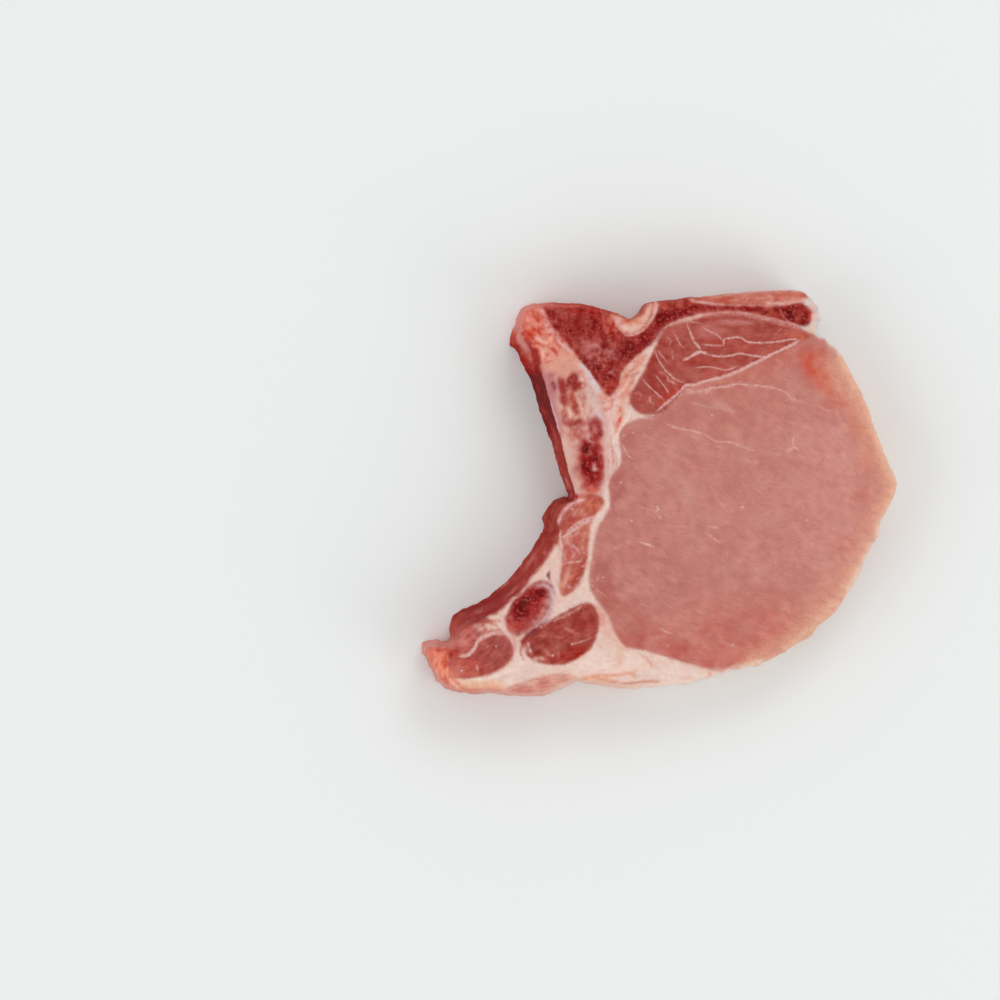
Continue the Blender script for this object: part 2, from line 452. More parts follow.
        ((-52.4, -41.6), (2.4, 0.8), (206, 140, 130), 0.8, 10),
        ((-46.4, -41.2), (1.6, 0.9), (220, 166, 158), 1.0, -20),
    ],
    "tail_end": [
        ((-64, -45.6), (3.4, 1.8), (202, 94, 80), 1.0),
        ((-64, -51), (1.8, 4), (238, 134, 104)),
        ((-62.6, -49), (0.6, 3), (196, 78, 60)),
        ((-67.4, -45.6), (1.4, 0.9), (226, 128, 106), 0.8),
        ((-61.6, -56.6), (2, 0.7), (220, 110, 84), 0.8, -30),
    ],
    "skirt_muscle": [
        ((-36, -57), (9, 0.9), (205, 128, 116), 0.9, 8),
        ((-31, -54.2), (6, 0.8), (216, 154, 136), 0.9, 3),
        ((-42, -58.4), (4, 0.7), (204, 122, 112), 0.8, 4),
        ((-36, -55.4), (5, 0.6), (222, 168, 154), 0.8, 10),
    ],
}

# Coloured lines: half width, colour, strength and points.
LINES = {
    "eye_muscle": [
        (4.2, (214, 150, 128), 0.9,
         [(49, 38), (53.5, 31.5), (58, 24.5), (61.5, 17), (64, 9), (66, 1), (64.5, -5),
          (61, -13), (57, -20.5), (52, -27.5), (46.5, -34), (40, -40), (34, -45), (24, -50)]),
        (1.6, (225, 174, 146), 0.9,
         [(51.5, 39.5), (56, 31.5), (60, 24), (63, 16), (65.5, 8.5), (68, 2), (66.5, -4),
          (63.5, -10), (59.5, -18.5), (55, -27), (49, -34.5), (42.5, -41), (35, -46.5)]),
        (0.8, (229, 196, 182), 0.8,
         [(65.5, -7), (62.5, -13), (60, -18), (57, -24), (54, -29.5)]),
        (1.0, (232, 202, 176), 0.9, [(30, -49), (27, -50.3), (23, -51)]),
        (0.9, (202, 148, 134), 0.5, [(6, 5), (7.2, 1), (8, -3), (9, -8), (9.5, -14)]),
        (0.7, (204, 150, 136), 0.5, [(11, 28), (14, 26), (18, 25), (21.5, 23)]),
        (0.5, (204, 158, 146), 0.5, [(9, 25.6), (13, 24.6), (18, 24), (21, 22.4)]),
        (0.6, (182, 102, 96), 0.5, [(-11.6, 5), (-12.8, 1), (-13.8, -3)]),
        (0.6, (180, 100, 92), 0.5, [(-18, -19), (-18.4, -25), (-16, -31), (-13, -36)]),
    ],
    "fat": [
        (0.8, (176, 84, 75), 0.9,
         [(12, 50.4), (18, 51.5), (24, 51.4), (30, 50.2), (36, 48.8), (42, 47)]),
        (0.3, (214, 156, 148), 0.9,
         [(4, 48.6), (10, 50.3), (16, 51.6), (23, 51.8), (30, 50.5), (36, 49.1), (43, 47)]),
        (0.9, (224, 142, 114), 0.9, [(-11.6, 25), (-12, 21), (-13, 16.5)]),
        (0.4, (208, 72, 46), 1.0, [(-11.7, 23.6), (-12, 21), (-12.6, 18.8)]),
        (0.5, (236, 210, 200), 0.9, [(-9, 22), (-11.5, 18.5), (-13.6, 14.5), (-14.6, 12)]),
        (0.4, (236, 210, 204), 0.8, [(-15.2, 24), (-14.4, 18), (-14.2, 13)]),
        (0.25, (196, 110, 100), 0.8, [(-14.6, 14.4), (-14, 11), (-13.8, 7)]),
        (0.6, (238, 216, 208), 0.9, [(-13, 12.5), (-12, 9.5), (-12.2, 6)]),
        (0.3, (204, 126, 114), 0.8, [(-13, 10.5), (-12.8, 8), (-13, 6)]),
        (0.5, (226, 190, 184), 0.8, [(-9, 29), (-6.5, 33.5), (-4.2, 37.5), (-2.4, 40.5)]),
        (0.4, (190, 96, 84), 0.8, [(-10.5, 32.5), (-8.5, 35), (-6.5, 37)]),
        (0.3, (150, 50, 44), 0.8, [(-8, 33), (-7, 34.2), (-6.2, 34.4)]),
        (0.35, (232, 192, 176), 0.8, [(-13, 27.5), (-10.5, 30), (-9, 33)]),
        (0.35, (112, 30, 40), 1.1, [(-32.4, -23.3), (-32.7, -24.6), (-32.3, -25.6)]),
        (0.4, (190, 146, 154), 0.9, [(-32.2, -26), (-31.4, -28), (-30.6, -30.5)]),
        (0.4, (108, 56, 76), 1.0, [(-33.2, -37.2), (-34, -38.4), (-35.2, -38.8)]),
        (0.7, (188, 146, 150), 0.8, [(-31.6, -30), (-32, -34), (-34, -38), (-37.5, -41)]),
        (0.5, (200, 110, 96), 0.8, [(-56, -38.2), (-51, -37.4), (-46.5, -37.8)]),
        (0.5, (218, 156, 146), 0.8, [(-43.5, -41), (-42.4, -44), (-42.6, -47)]),
        (0.35, (184, 98, 94), 0.8, [(-40.6, -44.5), (-40.6, -47), (-39.8, -49)]),
        (0.5, (240, 220, 206), 0.8, [(-57, -54), (-51, -54.6), (-45, -52.6), (-41, -51.4)]),
        (0.5, (230, 170, 134), 0.8, [(-60, -55.4), (-54, -56.6), (-46, -56.6)]),
        (0.4, (210, 120, 98), 0.9, [(-59, -57.4), (-52, -58), (-46, -58)]),
        (0.6, (226, 146, 106), 1.0, [(-23, -54.4), (-19, -54.2), (-17, -54.8), (-12, -55.6)]),
        (0.5, (222, 150, 122), 0.9, [(-20, -53.6), (-13, -53.4), (-8.5, -52.8), (-6.8, -51.8)]),
        (0.3, (190, 118, 100), 0.9, [(-16, -55.2), (-10, -56), (-5, -55.4), (0, -55.2)]),
        (0.8, (222, 162, 134), 0.8, [(-8.5, -52.8), (-7.2, -54)]),
        (0.5, (222, 156, 126), 0.9, [(-4.2, -48.8), (-3, -50), (-2.4, -51.2)]),
        (0.35, (212, 166, 154), 0.8, [(-6.4, -47), (-4.4, -48.4), (-3, -49.6)]),
        (0.4, (222, 152, 130), 0.8, [(13.4, -52.6), (14.6, -53.4), (13.6, -54.2)]),
        (0.35, (204, 100, 84), 0.8, [(47.6, 42.6), (49, 40.6), (50.2, 38.6)]),
        (0.35, (236, 196, 186), 0.9, [(46.4, 42.4), (48, 40.4), (49, 39)]),
    ],
    "multifidus_muscle": [
        (0.3, (206, 124, 116), 0.9, [(-8, 28.2), (-6.6, 28.6), (-5.8, 27.4), (-6.6, 26.2)]),
        (0.4, (196, 66, 52), 0.8, [(6.5, 30.5), (4, 29), (1.5, 27)]),
        (0.5, (190, 74, 58), 0.7, [(-3, 24.6), (0, 25.6), (2, 27.6)]),
        (0.35, (190, 120, 114), 0.8, [(17, 49.4), (22, 49.3), (27, 48.4)]),
    ],
    "ligament": [
        (1.5, (223, 158, 139), 0.8, [(-35, 35.4), (-31.6, 38.6), (-27.6, 39.2), (-24, 37)]),
        (0.6, (222, 172, 166), 1.0,
         [(-35, 54), (-33.4, 49.4), (-31.4, 45.4), (-28.6, 42.6), (-25.4, 39.8)]),
        (0.3, (206, 140, 140), 0.9,
         [(-33.6, 52), (-32.4, 48.6), (-30.4, 45), (-27.4, 42.2)]),
        (0.9, (218, 196, 198), 1.0, [(-23.4, 37.6), (-21.4, 35), (-19.6, 32), (-18, 28.6)]),
        (0.5, (190, 50, 36), 1.0, [(-36.8, 50.6), (-35.4, 49.2), (-34.2, 48)]),
        (0.4, (196, 58, 44), 1.0, [(-40, 46.6), (-38, 45.4), (-36.6, 43.8)]),
        (0.3, (196, 60, 46), 1.0, [(-38, 47), (-36, 46.6), (-34.6, 45), (-33.8, 43.6)]),
        (0.4, (194, 60, 46), 1.0, [(-32.4, 41.4), (-30.6, 40.4), (-30, 39.2)]),
        (0.3, (204, 84, 68), 0.9, [(-36.6, 42.6), (-35, 42.8), (-33.2, 42.4)]),
        (0.5, (142, 16, 12), 1.0, [(-38.4, 42.4), (-37, 39.4), (-35.8, 36.6), (-34.8, 34)]),
        (0.3, (202, 86, 72), 0.8, [(-34.6, 38), (-33.4, 37.4), (-32, 37.6)]),
        (0.3, (200, 80, 66), 0.8, [(-38.4, 51.2), (-36.6, 51.8), (-34.6, 51.4)]),
        (0.35, (234, 178, 162), 0.9, [(-36.2, 46), (-35, 44), (-34.6, 41), (-34, 37)]),
        (0.35, (236, 178, 162), 0.8, [(-36.8, 44.6), (-35, 44.8), (-33.4, 44)]),
    ],
    "rib_head": [
        (1.6, (223, 157, 137), 0.8, [(-34, 34.4), (-31, 37), (-27.6, 37.4), (-24.6, 35.4)]),
        (1.0, (199, 128, 128), 1.0, [(-34, 35), (-33, 30), (-31.4, 25), (-30, 20), (-28.8, 16)]),
        (0.4, (222, 194, 196), 0.9, [(-32.6, 27), (-31, 22), (-29.4, 17)]),
        (1.2, (222, 180, 168), 1.0, [(-28.8, 16), (-27.6, 10), (-26.6, 4), (-24, -1)]),
        (0.8, (222, 178, 168), 1.0, [(-16.4, 21), (-16, 14), (-15.8, 8), (-16.2, 2), (-18, -0.6)]),
        (0.5, (138, 66, 78), 0.9, [(-31.6, 31.6), (-31, 30.6), (-30.8, 29.4)]),
        (0.4, (150, 52, 60), 0.7, [(-29.8, 33), (-29.4, 31)]),
        (0.4, (240, 204, 188), 1.0, [(-25, 28.6), (-24, 27), (-23.6, 25.4)]),
        (0.35, (238, 200, 184), 0.9, [(-27, 24.6), (-26.2, 22.6), (-26.4, 21)]),
        (0.35, (238, 196, 176), 0.9, [(-23.6, 33.4), (-22.8, 32.2), (-22.6, 31.6)]),
        (0.4, (236, 190, 170), 0.9, [(-23.6, 25.6), (-22.8, 23), (-23.2, 21.4)]),
        (0.35, (232, 170, 140), 0.9, [(-25.8, 15.6), (-25, 15.3)]),
        (0.5, (208, 188, 198), 0.9, [(-18.8, 22.4), (-17.6, 21.8), (-17, 20.8)]),
        (0.4, (206, 170, 172), 0.7, [(-21.4, 16), (-21, 14.6), (-19, 14)]),
        (0.3, (206, 96, 76), 0.9, [(-20, 0.2), (-18.6, 0.6), (-17.6, 0.2)]),
    ],
    "intercostal_muscle": [
        (0.5, (224, 184, 184), 1.1, [(-22, -2.4), (-26, -3.8), (-28.6, -6.8), (-29.8, -9.6)]),
        (0.4, (214, 166, 168), 1.0, [(-27.4, -15.4), (-25.6, -15.9), (-24.2, -17), (-23.6, -18.4)]),
        (0.3, (212, 156, 152), 0.9, [(-27.6, -17), (-28, -19), (-27, -20.6)]),
        (0.4, (214, 150, 144), 0.9, [(-25.8, -17), (-25.2, -18.6), (-26, -19.8)]),
        (0.5, (232, 198, 186), 0.9, [(-29.6, -11), (-29.2, -14), (-28.8, -18)]),
        (0.3, (222, 174, 162), 0.8, [(-23.6, -10.6), (-24.6, -12.4), (-26.6, -13.4)]),
        (0.3, (160, 60, 52), 0.7, [(-22.6, -22), (-24.4, -25), (-26.6, -28.6)]),
    ],
    "strip_muscle": [
        (0.35, (226, 184, 168), 0.9, [(6, 55.8), (14, 57.2), (26, 58), (36, 59), (40, 58.8)]),
        (0.25, (222, 168, 152), 0.9, [(22, 55.4), (26, 56.2), (31, 56)]),
        (0.25, (222, 168, 152), 0.8, [(30, 57.2), (32.4, 56), (32, 55)]),
        (0.5, (226, 184, 178), 0.9, [(30, 54.6), (36, 54.4), (43, 55.4)]),
    ],
    "feather_bone": [
        (0.35, (198, 126, 122), 0.9,
         [(-21, 41.8), (-19.6, 42.4), (-18, 42), (-17.6, 40.6), (-18.6, 39.6)]),
        (0.3, (194, 114, 110), 0.8, [(-22.4, 40), (-21.2, 38.6), (-19.4, 38.4)]),
        (0.3, (192, 112, 108), 0.8, [(-16, 41.4), (-14.6, 40), (-12.8, 39.6)]),
        (0.3, (206, 140, 136), 0.9, [(-15.6, 34), (-14.2, 34.6), (-13.6, 33.4)]),
        (0.35, (162, 102, 108), 1.0, [(-7.6, 37.6), (-5, 40), (-2.6, 42.8), (-0.8, 45.4), (1, 47.6)]),
        (0.45, (202, 128, 118), 0.9, [(4, 48.7), (8, 50.1), (13, 51.4), (18, 51.9), (25, 51.6)]),
        (0.45, (202, 128, 118), 0.9, [(25, 51.6), (30, 50.2), (34, 48.9), (40, 47.6), (43, 47)]),
        (0.5, (224, 178, 168), 0.9, [(8, 55.6), (12, 54.6), (20, 54.2), (30, 54), (36, 54)]),
        (0.3, (204, 128, 120), 1.0, [(34.4, 54), (34.8, 52), (36, 50), (38, 48.8)]),
        (0.25, (178, 96, 90), 0.8, [(-30.6, 52), (-28.4, 51.6), (-26.6, 52.4)]),
        (0.4, (200, 96, 84), 0.8, [(-33, 53.4), (-28, 53.8), (-22, 54)]),
    ],
    "canal_fat": [
        (0.35, (186, 92, 82), 0.9, [(-13, 46.4), (-11, 45.6), (-7, 46), (-4, 48.8), (-2.6, 52),
                                    (-2.2, 55)]),
        (0.35, (226, 170, 158), 0.9, [(-11, 45), (-7, 45.4), (-3.4, 48), (-1.8, 51.4), (-1.4, 55.5)]),
        (0.3, (194, 50, 34), 1.0, [(-11.2, 49.4), (-9.6, 49.2), (-8.8, 49.6)]),
        (0.3, (202, 72, 54), 0.9, [(-13.8, 50.6), (-12.8, 51.4), (-11.8, 50.8)]),
        (0.3, (200, 74, 58), 0.8, [(-5.4, 51.2), (-4.6, 51.8)]),
    ],
    "rib_tip": [
        (0.3, (150, 60, 74), 0.8, [(-32.2, -27), (-30.8, -29), (-30.6, -31.6)]),
        (0.35, (212, 186, 188), 0.7, [(-36, -27.2), (-33.2, -27.6), (-31.4, -30), (-31.2, -33.6)]),
    ],
    "flank_muscle": [
        (0.35, (204, 136, 124), 0.8, [(-29, -39.4), (-26, -40.6), (-23.4, -42)]),
        (0.4, (232, 200, 188), 0.9, [(-38.6, -43.8), (-38.2, -45.6), (-37.4, -47.4)]),
        (0.35, (214, 154, 142), 0.8, [(-33, -38.2), (-29, -36.6), (-25, -34.6), (-22.4, -33)]),
        (0.3, (206, 120, 106), 0.9, [(-29.6, -46.4), (-29.8, -49)]),
        (0.3, (214, 140, 126), 0.8, [(-33.6, -46), (-32.4, -47.6), (-31, -48)]),
        (0.3, (196, 120, 108), 0.7, [(-37, -42.4), (-33, -42), (-28, -42.6)]),
    ],
    "tail_end": [
        (0.4, (236, 202, 190), 1.0, [(-62, -51.6), (-61.6, -54), (-60.2, -56), (-58, -57.2)]),
        (0.3, (190, 64, 50), 0.9, [(-67, -45.6), (-64.4, -46.4), (-62, -45.8)]),
        (0.35, (238, 158, 136), 0.8, [(-66, -48), (-65.4, -51), (-65.4, -54)]),
    ],
}

# White seams in the lean meat: half width, strength and points.
SEAMS = [
    (0.5, 1.15, [(10, 31), (14, 32.2), (18, 33.1), (22, 34.6), (26, 36.5), (30, 38.5), (34, 40.5),
                  (38, 42.4), (40, 43.5)]),
    (0.5, 1.0, [(-1.5, 23), (1, 25), (3.4, 27), (6, 29.4), (7, 30.6), (10.4, 30.8)]),
    (0.5, 1.05, [(6.4, 37.8), (8, 38.6), (9.6, 39.6), (11.5, 40.3), (14, 39.5)]),
    (0.34, 0.95, [(14, 39.5), (17, 39), (20, 39.2), (23, 39.9), (26, 39.3), (31, 38.8)]),
    (0.4, 0.8, [(7.4, 48.6), (8.4, 46.2), (9.4, 43.6), (11, 41.6), (11.4, 40.2)]),
    (0.34, 0.95, [(18.2, 42.4), (18.3, 44), (20, 44.3), (22.5, 44.6), (25, 43.3), (27, 43),
                 (31, 43), (35, 43.5), (38, 44), (40.6, 43.6)]),
    (0.34, 0.7, [(12, 47.5), (14, 46.3), (16, 45.5), (17.5, 44), (18, 43.4)]),
    (0.3, 0.8, [(12, 42.5), (15, 42.2), (18.2, 42.2)]),
    (0.3, 0.75, [(10, 35.8), (14, 36), (18, 35.2), (20, 35.3), (22, 36.2)]),
    (0.3, 0.75, [(-1.8, 41), (-1, 38.6), (0.4, 36.2), (2.4, 33.8), (4.6, 32.2), (7, 31.4)]),
    (0.3, 0.7, [(-1.2, 41), (0.6, 38.8), (2, 37)]),
    (0.3, 0.75, [(-5.6, 33), (-4, 30.8), (-1.8, 28.8), (0.6, 26.6)]),
    (0.28, 0.75, [(-1.6, 33.6), (0, 31.6), (1.6, 29.4), (2.4, 28)]),
    (0.26, 0.65, [(-0.6, 34.6), (1.4, 33.6), (2.2, 32)]),
    (0.26, 0.65, [(1.2, 32.2), (2.8, 31.8), (4.6, 30.8)]),
    (0.28, 0.65, [(3.4, 46.2), (4.8, 44), (5.6, 42.4), (6.8, 41.6)]),
    (0.26, 0.6, [(1.6, 44.6), (2.8, 43.6), (2.4, 42.2)]),
    (0.26, 0.6, [(3, 40.8), (3.4, 39), (3.2, 37.8)]),
    (0.28, 0.75, [(-2, 25), (-3.4, 26.4), (-2.6, 27.8)]),
    (0.3, 0.6, [(6.4, 48.6), (9, 49), (12, 48.6)]),
    (0.28, 0.45, [(33, 45.2), (34.4, 46.8), (36.6, 46.6)]),
    (0.8, 0.7, [(7, 29.8), (9, 28.8), (12, 29), (15.4, 29.8)]),
    (0.45, 0.85, [(13, 29.4), (16, 30), (19, 30.3), (22, 31), (26, 30.7)]),
    (0.34, 0.75, [(26, 30.7), (30, 30.3), (34, 29.5), (36.2, 28.6), (37.6, 27), (39, 26.3)]),
    (0.5, 0.6, [(37.2, 26.4), (38.6, 26.6), (39.4, 26)]),
    (0.36, 0.6, [(22.4, 31), (22.8, 31.8), (23.6, 31.6)]),
    (0.5, 0.55, [(-8, 21), (-5, 21.2), (-1.6, 20.8)]),
    (0.38, 0.75, [(1.4, 19.6), (3.6, 18.6), (5.4, 18), (7.8, 17.8), (10, 17.2), (12.4, 16.6)]),
    (0.3, 0.7, [(12.4, 16.6), (16, 14.4), (20, 14.2), (23, 13), (26, 12), (27.4, 11.8)]),
    (0.3, 0.6, [(31, 11.6), (33.6, 10.6), (36, 10.4)]),
    (0.3, 0.45, [(-5, 19.6), (-2.6, 17.6), (-0.6, 15.6)]),
    (0.7, 0.8, [(36.4, 11.4), (37.6, 12.2), (38.6, 12.8)]),
    (0.42, 0.75, [(38.4, 12.6), (38.2, 14.4), (38.6, 16)]),
    (0.36, 0.7, [(38.6, 12.6), (39.8, 12.2)]),
    (0.32, 0.5, [(44, 25.3), (46, 24.4), (47.6, 23.3), (50.4, 23.4)]),
    (0.45, 0.45, [(48, 19.8), (48.4, 18), (50, 17.4)]),
    (0.38, 0.7, [(-11.4, 13.6), (-10.4, 12), (-9.4, 10.2), (-8, 9.2)]),
    (0.4, 1.0, [(-1.4, -4.4), (-0.8, -5.2), (-1.6, -6.2)]),
    (0.36, 0.75, [(-0.8, -7.2), (0, -8.2)]),
    (0.3, 0.5, [(-3.6, -5), (-1.6, -5.8), (-7, -4.4)]),
    (0.36, 0.9, [(-6.4, -14.8), (-4.4, -15.4), (-2, -16.2)]),
    (0.34, 0.8, [(12.8, -9.8), (14.6, -10.4), (16.8, -10.8)]),
    (0.3, 0.7, [(12.2, -11.8), (14.4, -13), (16.2, -14.4), (17.6, -15)]),
    (0.3, 0.5, [(0.8, -9.8), (3, -10.4), (6.6, -10.2), (8.8, -11.8)]),
    (0.34, 0.8, [(-0.8, -39.4), (1, -40.6), (3.6, -41.4)]),
    (0.3, 0.5, [(1.8, -44.2), (2.2, -45.6)]),
    (0.32, 0.5, [(-20, -27.6), (-17.6, -29.4), (-15.4, -30.8)]),
    (0.45, 0.5, [(-18, -23.6), (-18.4, -25.8), (-20, -27)]),
    (0.3, 0.45, [(19, -17.6), (19.4, -20)]),
    (0.36, 0.45, [(22.4, -4.6), (23.4, -5.6), (25, -5)]),
    (0.3, 0.4, [(29.6, -6.8), (31.6, -6), (33, -5)]),
    (0.32, 0.4, [(4.8, -31), (2.6, -30.4), (1, -29.8)]),
    (0.7, 1.0, [(-28.6, -13.6), (-25.4, -11.2), (-22, -9), (-18.8, -7.4)]),
    (0.4, 0.9, [(-27.6, -12), (-24.4, -9.4), (-20.6, -7.6)]),
    (0.4, 0.8, [(-28.4, -21.4), (-25.6, -20.6), (-22.6, -20.4)]),
    (0.34, 0.7, [(-25.8, -44.4), (-23, -43.6), (-20.4, -42.6)]),
    (0.66, 1.1, [(-47, -41), (-50.4, -41.8), (-53, -43.4), (-54.2, -45.8), (-55.8, -47.4),
                 (-58.6, -48)]),
    (0.4, 0.8, [(-53.4, -50.4), (-53.2, -52)]),
]

# Bright specks in the lean meat.
SPECKS = [(14.5, 22), (61.7, 14.3), (-17, -25), (-11.8, 2.5), (-8.3, 17), (-8.6, -8.6),
          (20.6, -44.6), (23.4, -4.6), (-58, -52), (-48, -45), (-26, -44.3), (-31.6, -47.6),
          (-25.8, -5.2), (33, -20.6), (42.2, -8.4)]

# Fine white hairs that stand off a seam: its points, how long they are, which way they point in
# degrees, and how many there are.
HAIRS = [
    ([(-3, 22), (1, 24.6), (3.6, 26.8), (7, 30)], 1.0, -50, 18),
    ([(7, 29.6), (10, 28.6), (15, 29.6)], 1.0, -75, 12),
    ([(6.4, 37.8), (9.6, 39.4), (11.5, 40)], 0.6, -100, 8),
    ([(14, 39.3), (22, 39.6)], 0.5, -90, 8),
    ([(-14, 5), (-13, 12), (-9, 20)], 0.9, -10, 22),
    ([(-19, -10), (-20.6, -20), (-20.4, -28)], 1.0, 0, 40),
    ([(-35, -39), (-28, -36), (-22, -33)], 0.7, -80, 30),
    ([(-29, -11), (-29, -17), (-28.6, -22)], 0.9, -10, 10),
    ([(-22, -12), (-22.4, -20), (-24, -27)], 0.9, 190, 12),
]

# Scattered flecks: piece, middle and radii of where they lie, how many there are of each colour,
# their length and direction in degrees, half width, light colour, dark colour and strength.
FLECKS = [
    ("eye_muscle", (22, -6), (44, 46), 200, 2.6, -22, 0.28, (218, 166, 153), (180, 104, 96), 0.38),
    ("eye_muscle", (22, -6), (44, 46), 90, 5.0, -24, 0.8, (206, 146, 134), (184, 112, 103), 0.3),
    ("eye_muscle", (24, -8), (30, 30), 40, 1.0, -30, 0.7, (206, 154, 140), (186, 116, 108), 0.35),
    ("eye_muscle", (20, -44), (26, 8), 40, 2.0, -12, 0.35, (206, 126, 114), (182, 80, 72), 0.35),
    ("eye_muscle", (-10, -16), (9, 28), 60, 1.8, -50, 0.4, (204, 140, 130), (168, 92, 86), 0.4),
    ("eye_muscle", (56, 5), (8, 32), 40, 2.4, -70, 0.4, (228, 172, 148), (204, 132, 114), 0.35),
    ("multifidus_muscle", (22, 43), (22, 8), 90, 1.8, 8, 0.22, (190, 108, 98), (146, 50, 46), 0.5),
    ("multifidus_muscle", (0, 33), (9, 12), 60, 1.6, -50, 0.22, (194, 108, 98), (138, 38, 36), 0.55),
    ("flank_muscle", (-29, -42), (11, 8), 70, 1.8, 20, 0.22, (188, 104, 92), (130, 36, 34), 0.6),
    ("tail_muscle", (-53, -46), (9, 8), 70, 1.4, 30, 0.26, (198, 118, 108), (142, 48, 44), 0.55),
    ("tail_end", (-64, -51), (4, 8), 40, 2.0, 85, 0.25, (240, 162, 138), (194, 72, 56), 0.6),
    ("intercostal_muscle", (-24, -15), (6, 16), 60, 1.2, 50, 0.24, (218, 152, 138), (158, 60, 52), 0.6),
    ("strip_muscle", (25, 56), (20, 3), 60, 3.0, 3, 0.2, (220, 156, 140), (176, 76, 62), 0.55),
    ("skirt_muscle", (-35, -57), (12, 4), 60, 3.4, 6, 0.22, (228, 180, 166), (190, 106, 96), 0.6),
    ("ligament", (-34.5, 46.5), (7, 7.5), 90, 0.9, -40, 0.22, (236, 184, 166), (184, 54, 42), 0.75),
    ("fat", (-12, -50), (28, 6), 60, 3.0, -4, 0.3, (240, 220, 208), (222, 174, 158), 0.5),
    ("fat", (-14, 15), (4, 15), 46, 2.2, 80, 0.22, (238, 212, 204), (202, 128, 116), 0.6),
    ("fat", (-7, 34), (5, 8), 36, 1.4, 50, 0.24, (232, 182, 166), (184, 84, 72), 0.6),
    ("rib_head", (-25, 24), (4, 9), 50, 0.9, 70, 0.3, (230, 184, 166), (172, 76, 68), 0.6),
    ("feather_bone", (-18, 40), (6, 4), 30, 0.8, 20, 0.25, (202, 132, 126), (124, 30, 32), 0.7),
    ("feather_bone", (-9, 35), (4, 5), 30, 0.8, 40, 0.25, (214, 136, 122), (130, 34, 32), 0.7),
    ("feather_bone", (-14, 49), (3, 4), 26, 0.6, 80, 0.25, (234, 140, 118), (172, 36, 28), 0.7),
]

# Mottling all over a piece: size of the spots, their seed, the noise where they begin and are
# full, colour and strength.
MOTTLES = {
    "eye_muscle": [(5.0, 31, 0.0, 0.6, (204, 141, 130), 0.45),
                   (5.0, 31, 0.0, -0.6, (186, 116, 108), 0.4),
                   (1.6, 32, 0.1, 0.6, (206, 146, 134), 0.3),
                   (1.6, 32, -0.1, -0.6, (182, 110, 101), 0.3)],
    "fat": [(3.0, 33, 0.1, 0.6, (236, 214, 203), 0.5),
            (2.4, 34, 0.15, 0.6, (221, 172, 158), 0.3)],
    "multifidus_muscle": [(2.2, 35, 0.0, 0.6, (184, 100, 91), 0.5),
                          (1.8, 36, 0.1, 0.6, (146, 54, 48), 0.5)],
    "ligament": [(1.3, 37, 0.1, 0.5, (232, 168, 150), 0.4),
                 (0.7, 38, 0.2, 0.5, (196, 78, 62), 0.6)],
    "rib_head": [(1.3, 39, 0.15, 0.55, (232, 192, 178), 0.35),
                 (0.9, 40, 0.2, 0.55, (176, 88, 80), 0.5)],
    "intercostal_muscle": [(1.6, 41, 0.1, 0.5, (220, 152, 138), 0.6),
                           (1.3, 42, 0.1, 0.5, (160, 66, 56), 0.6)],
    "strip_muscle": [(1.6, 43, 0.1, 0.5, (212, 138, 122), 0.5),
                     (1.8, 44, 0.1, 0.5, (176, 76, 62), 0.5)],
    "tip_cartilage": [(1.5, 45, 0.1, 0.6, (228, 208, 200), 0.5)],
    "feather_bone": [(3.2, 46, 0.0, 0.5, (176, 76, 66), 0.6),
                     (1.6, 61, 0.1, 0.45, (186, 92, 82), 0.7),
                     (1.8, 62, 0.05, 0.4, (118, 18, 20), 0.8),
                     (0.9, 47, 0.1, 0.45, (96, 10, 12), 0.8),
                     (0.8, 48, 0.15, 0.5, (192, 100, 88), 0.6)],
    "canal_fat": [(1.2, 49, 0.1, 0.5, (234, 196, 180), 0.6),
                  (1.0, 50, 0.2, 0.6, (206, 128, 108), 0.6)],
    "rib_tip": [(1.2, 51, 0.15, 0.5, (224, 182, 172), 0.2),
                (0.7, 52, 0.05, 0.45, (110, 16, 18), 0.5)],
    "flank_muscle": [(2.0, 53, 0.0, 0.5, (180, 92, 80), 0.6),
                     (1.3, 54, 0.1, 0.5, (136, 44, 40), 0.6)],
    "tail_muscle": [(2.0, 55, 0.0, 0.5, (190, 106, 97), 0.5),
                    (1.3, 56, 0.1, 0.5, (146, 56, 52), 0.5)],
    "tail_end": [(1.6, 57, 0.1, 0.5, (238, 156, 132), 0.6),
                 (1.2, 58, 0.1, 0.5, (200, 84, 64), 0.6)],
    "skirt_muscle": [(2.0, 59, 0.1, 0.5, (226, 176, 162), 0.5),
                     (1.6, 60, 0.1, 0.5, (194, 116, 104), 0.5)],
}


# ---------------------------------------------------------------- curves, distances and noise

def bezier_steps(before, start, end, after, step):
    """Points of the smooth stretch from start to end, without its last one."""
    pieces = max(1, round((end - start).length / step))
    leave = start + (end - before) / 6
    arrive = end - (after - start) / 6
    return interpolate_bezier(start, leave, arrive, end, pieces + 1)[:-1]


def smooth_curve(points, step):
    """Smooth stretches between all the points but the first and the last, which only steer them."""
    curve = []
    for i in range(len(points) - 3):
        curve += bezier_steps(*points[i:i + 4], step)
    return curve


def smooth_loop(points, step):
    """Closed smooth curve through the points, with a point about every step."""
    points = [Vector(p).to_3d() for p in points]
    return np.array([p[:2] for p in smooth_curve([points[-1], *points, *points[:2]], step)])


def smooth_line(points, step):
    """Open smooth curve through the points."""
    points = [Vector(p).to_3d() for p in points]
    curve = smooth_curve([points[0], *points, points[-1]], step)
    return np.array([p[:2] for p in [*curve, points[-1]]])


def within(points, low, high):
    """Rows of the points inside a box."""
    return np.flatnonzero(((points > low) & (points < high)).all(axis=1))


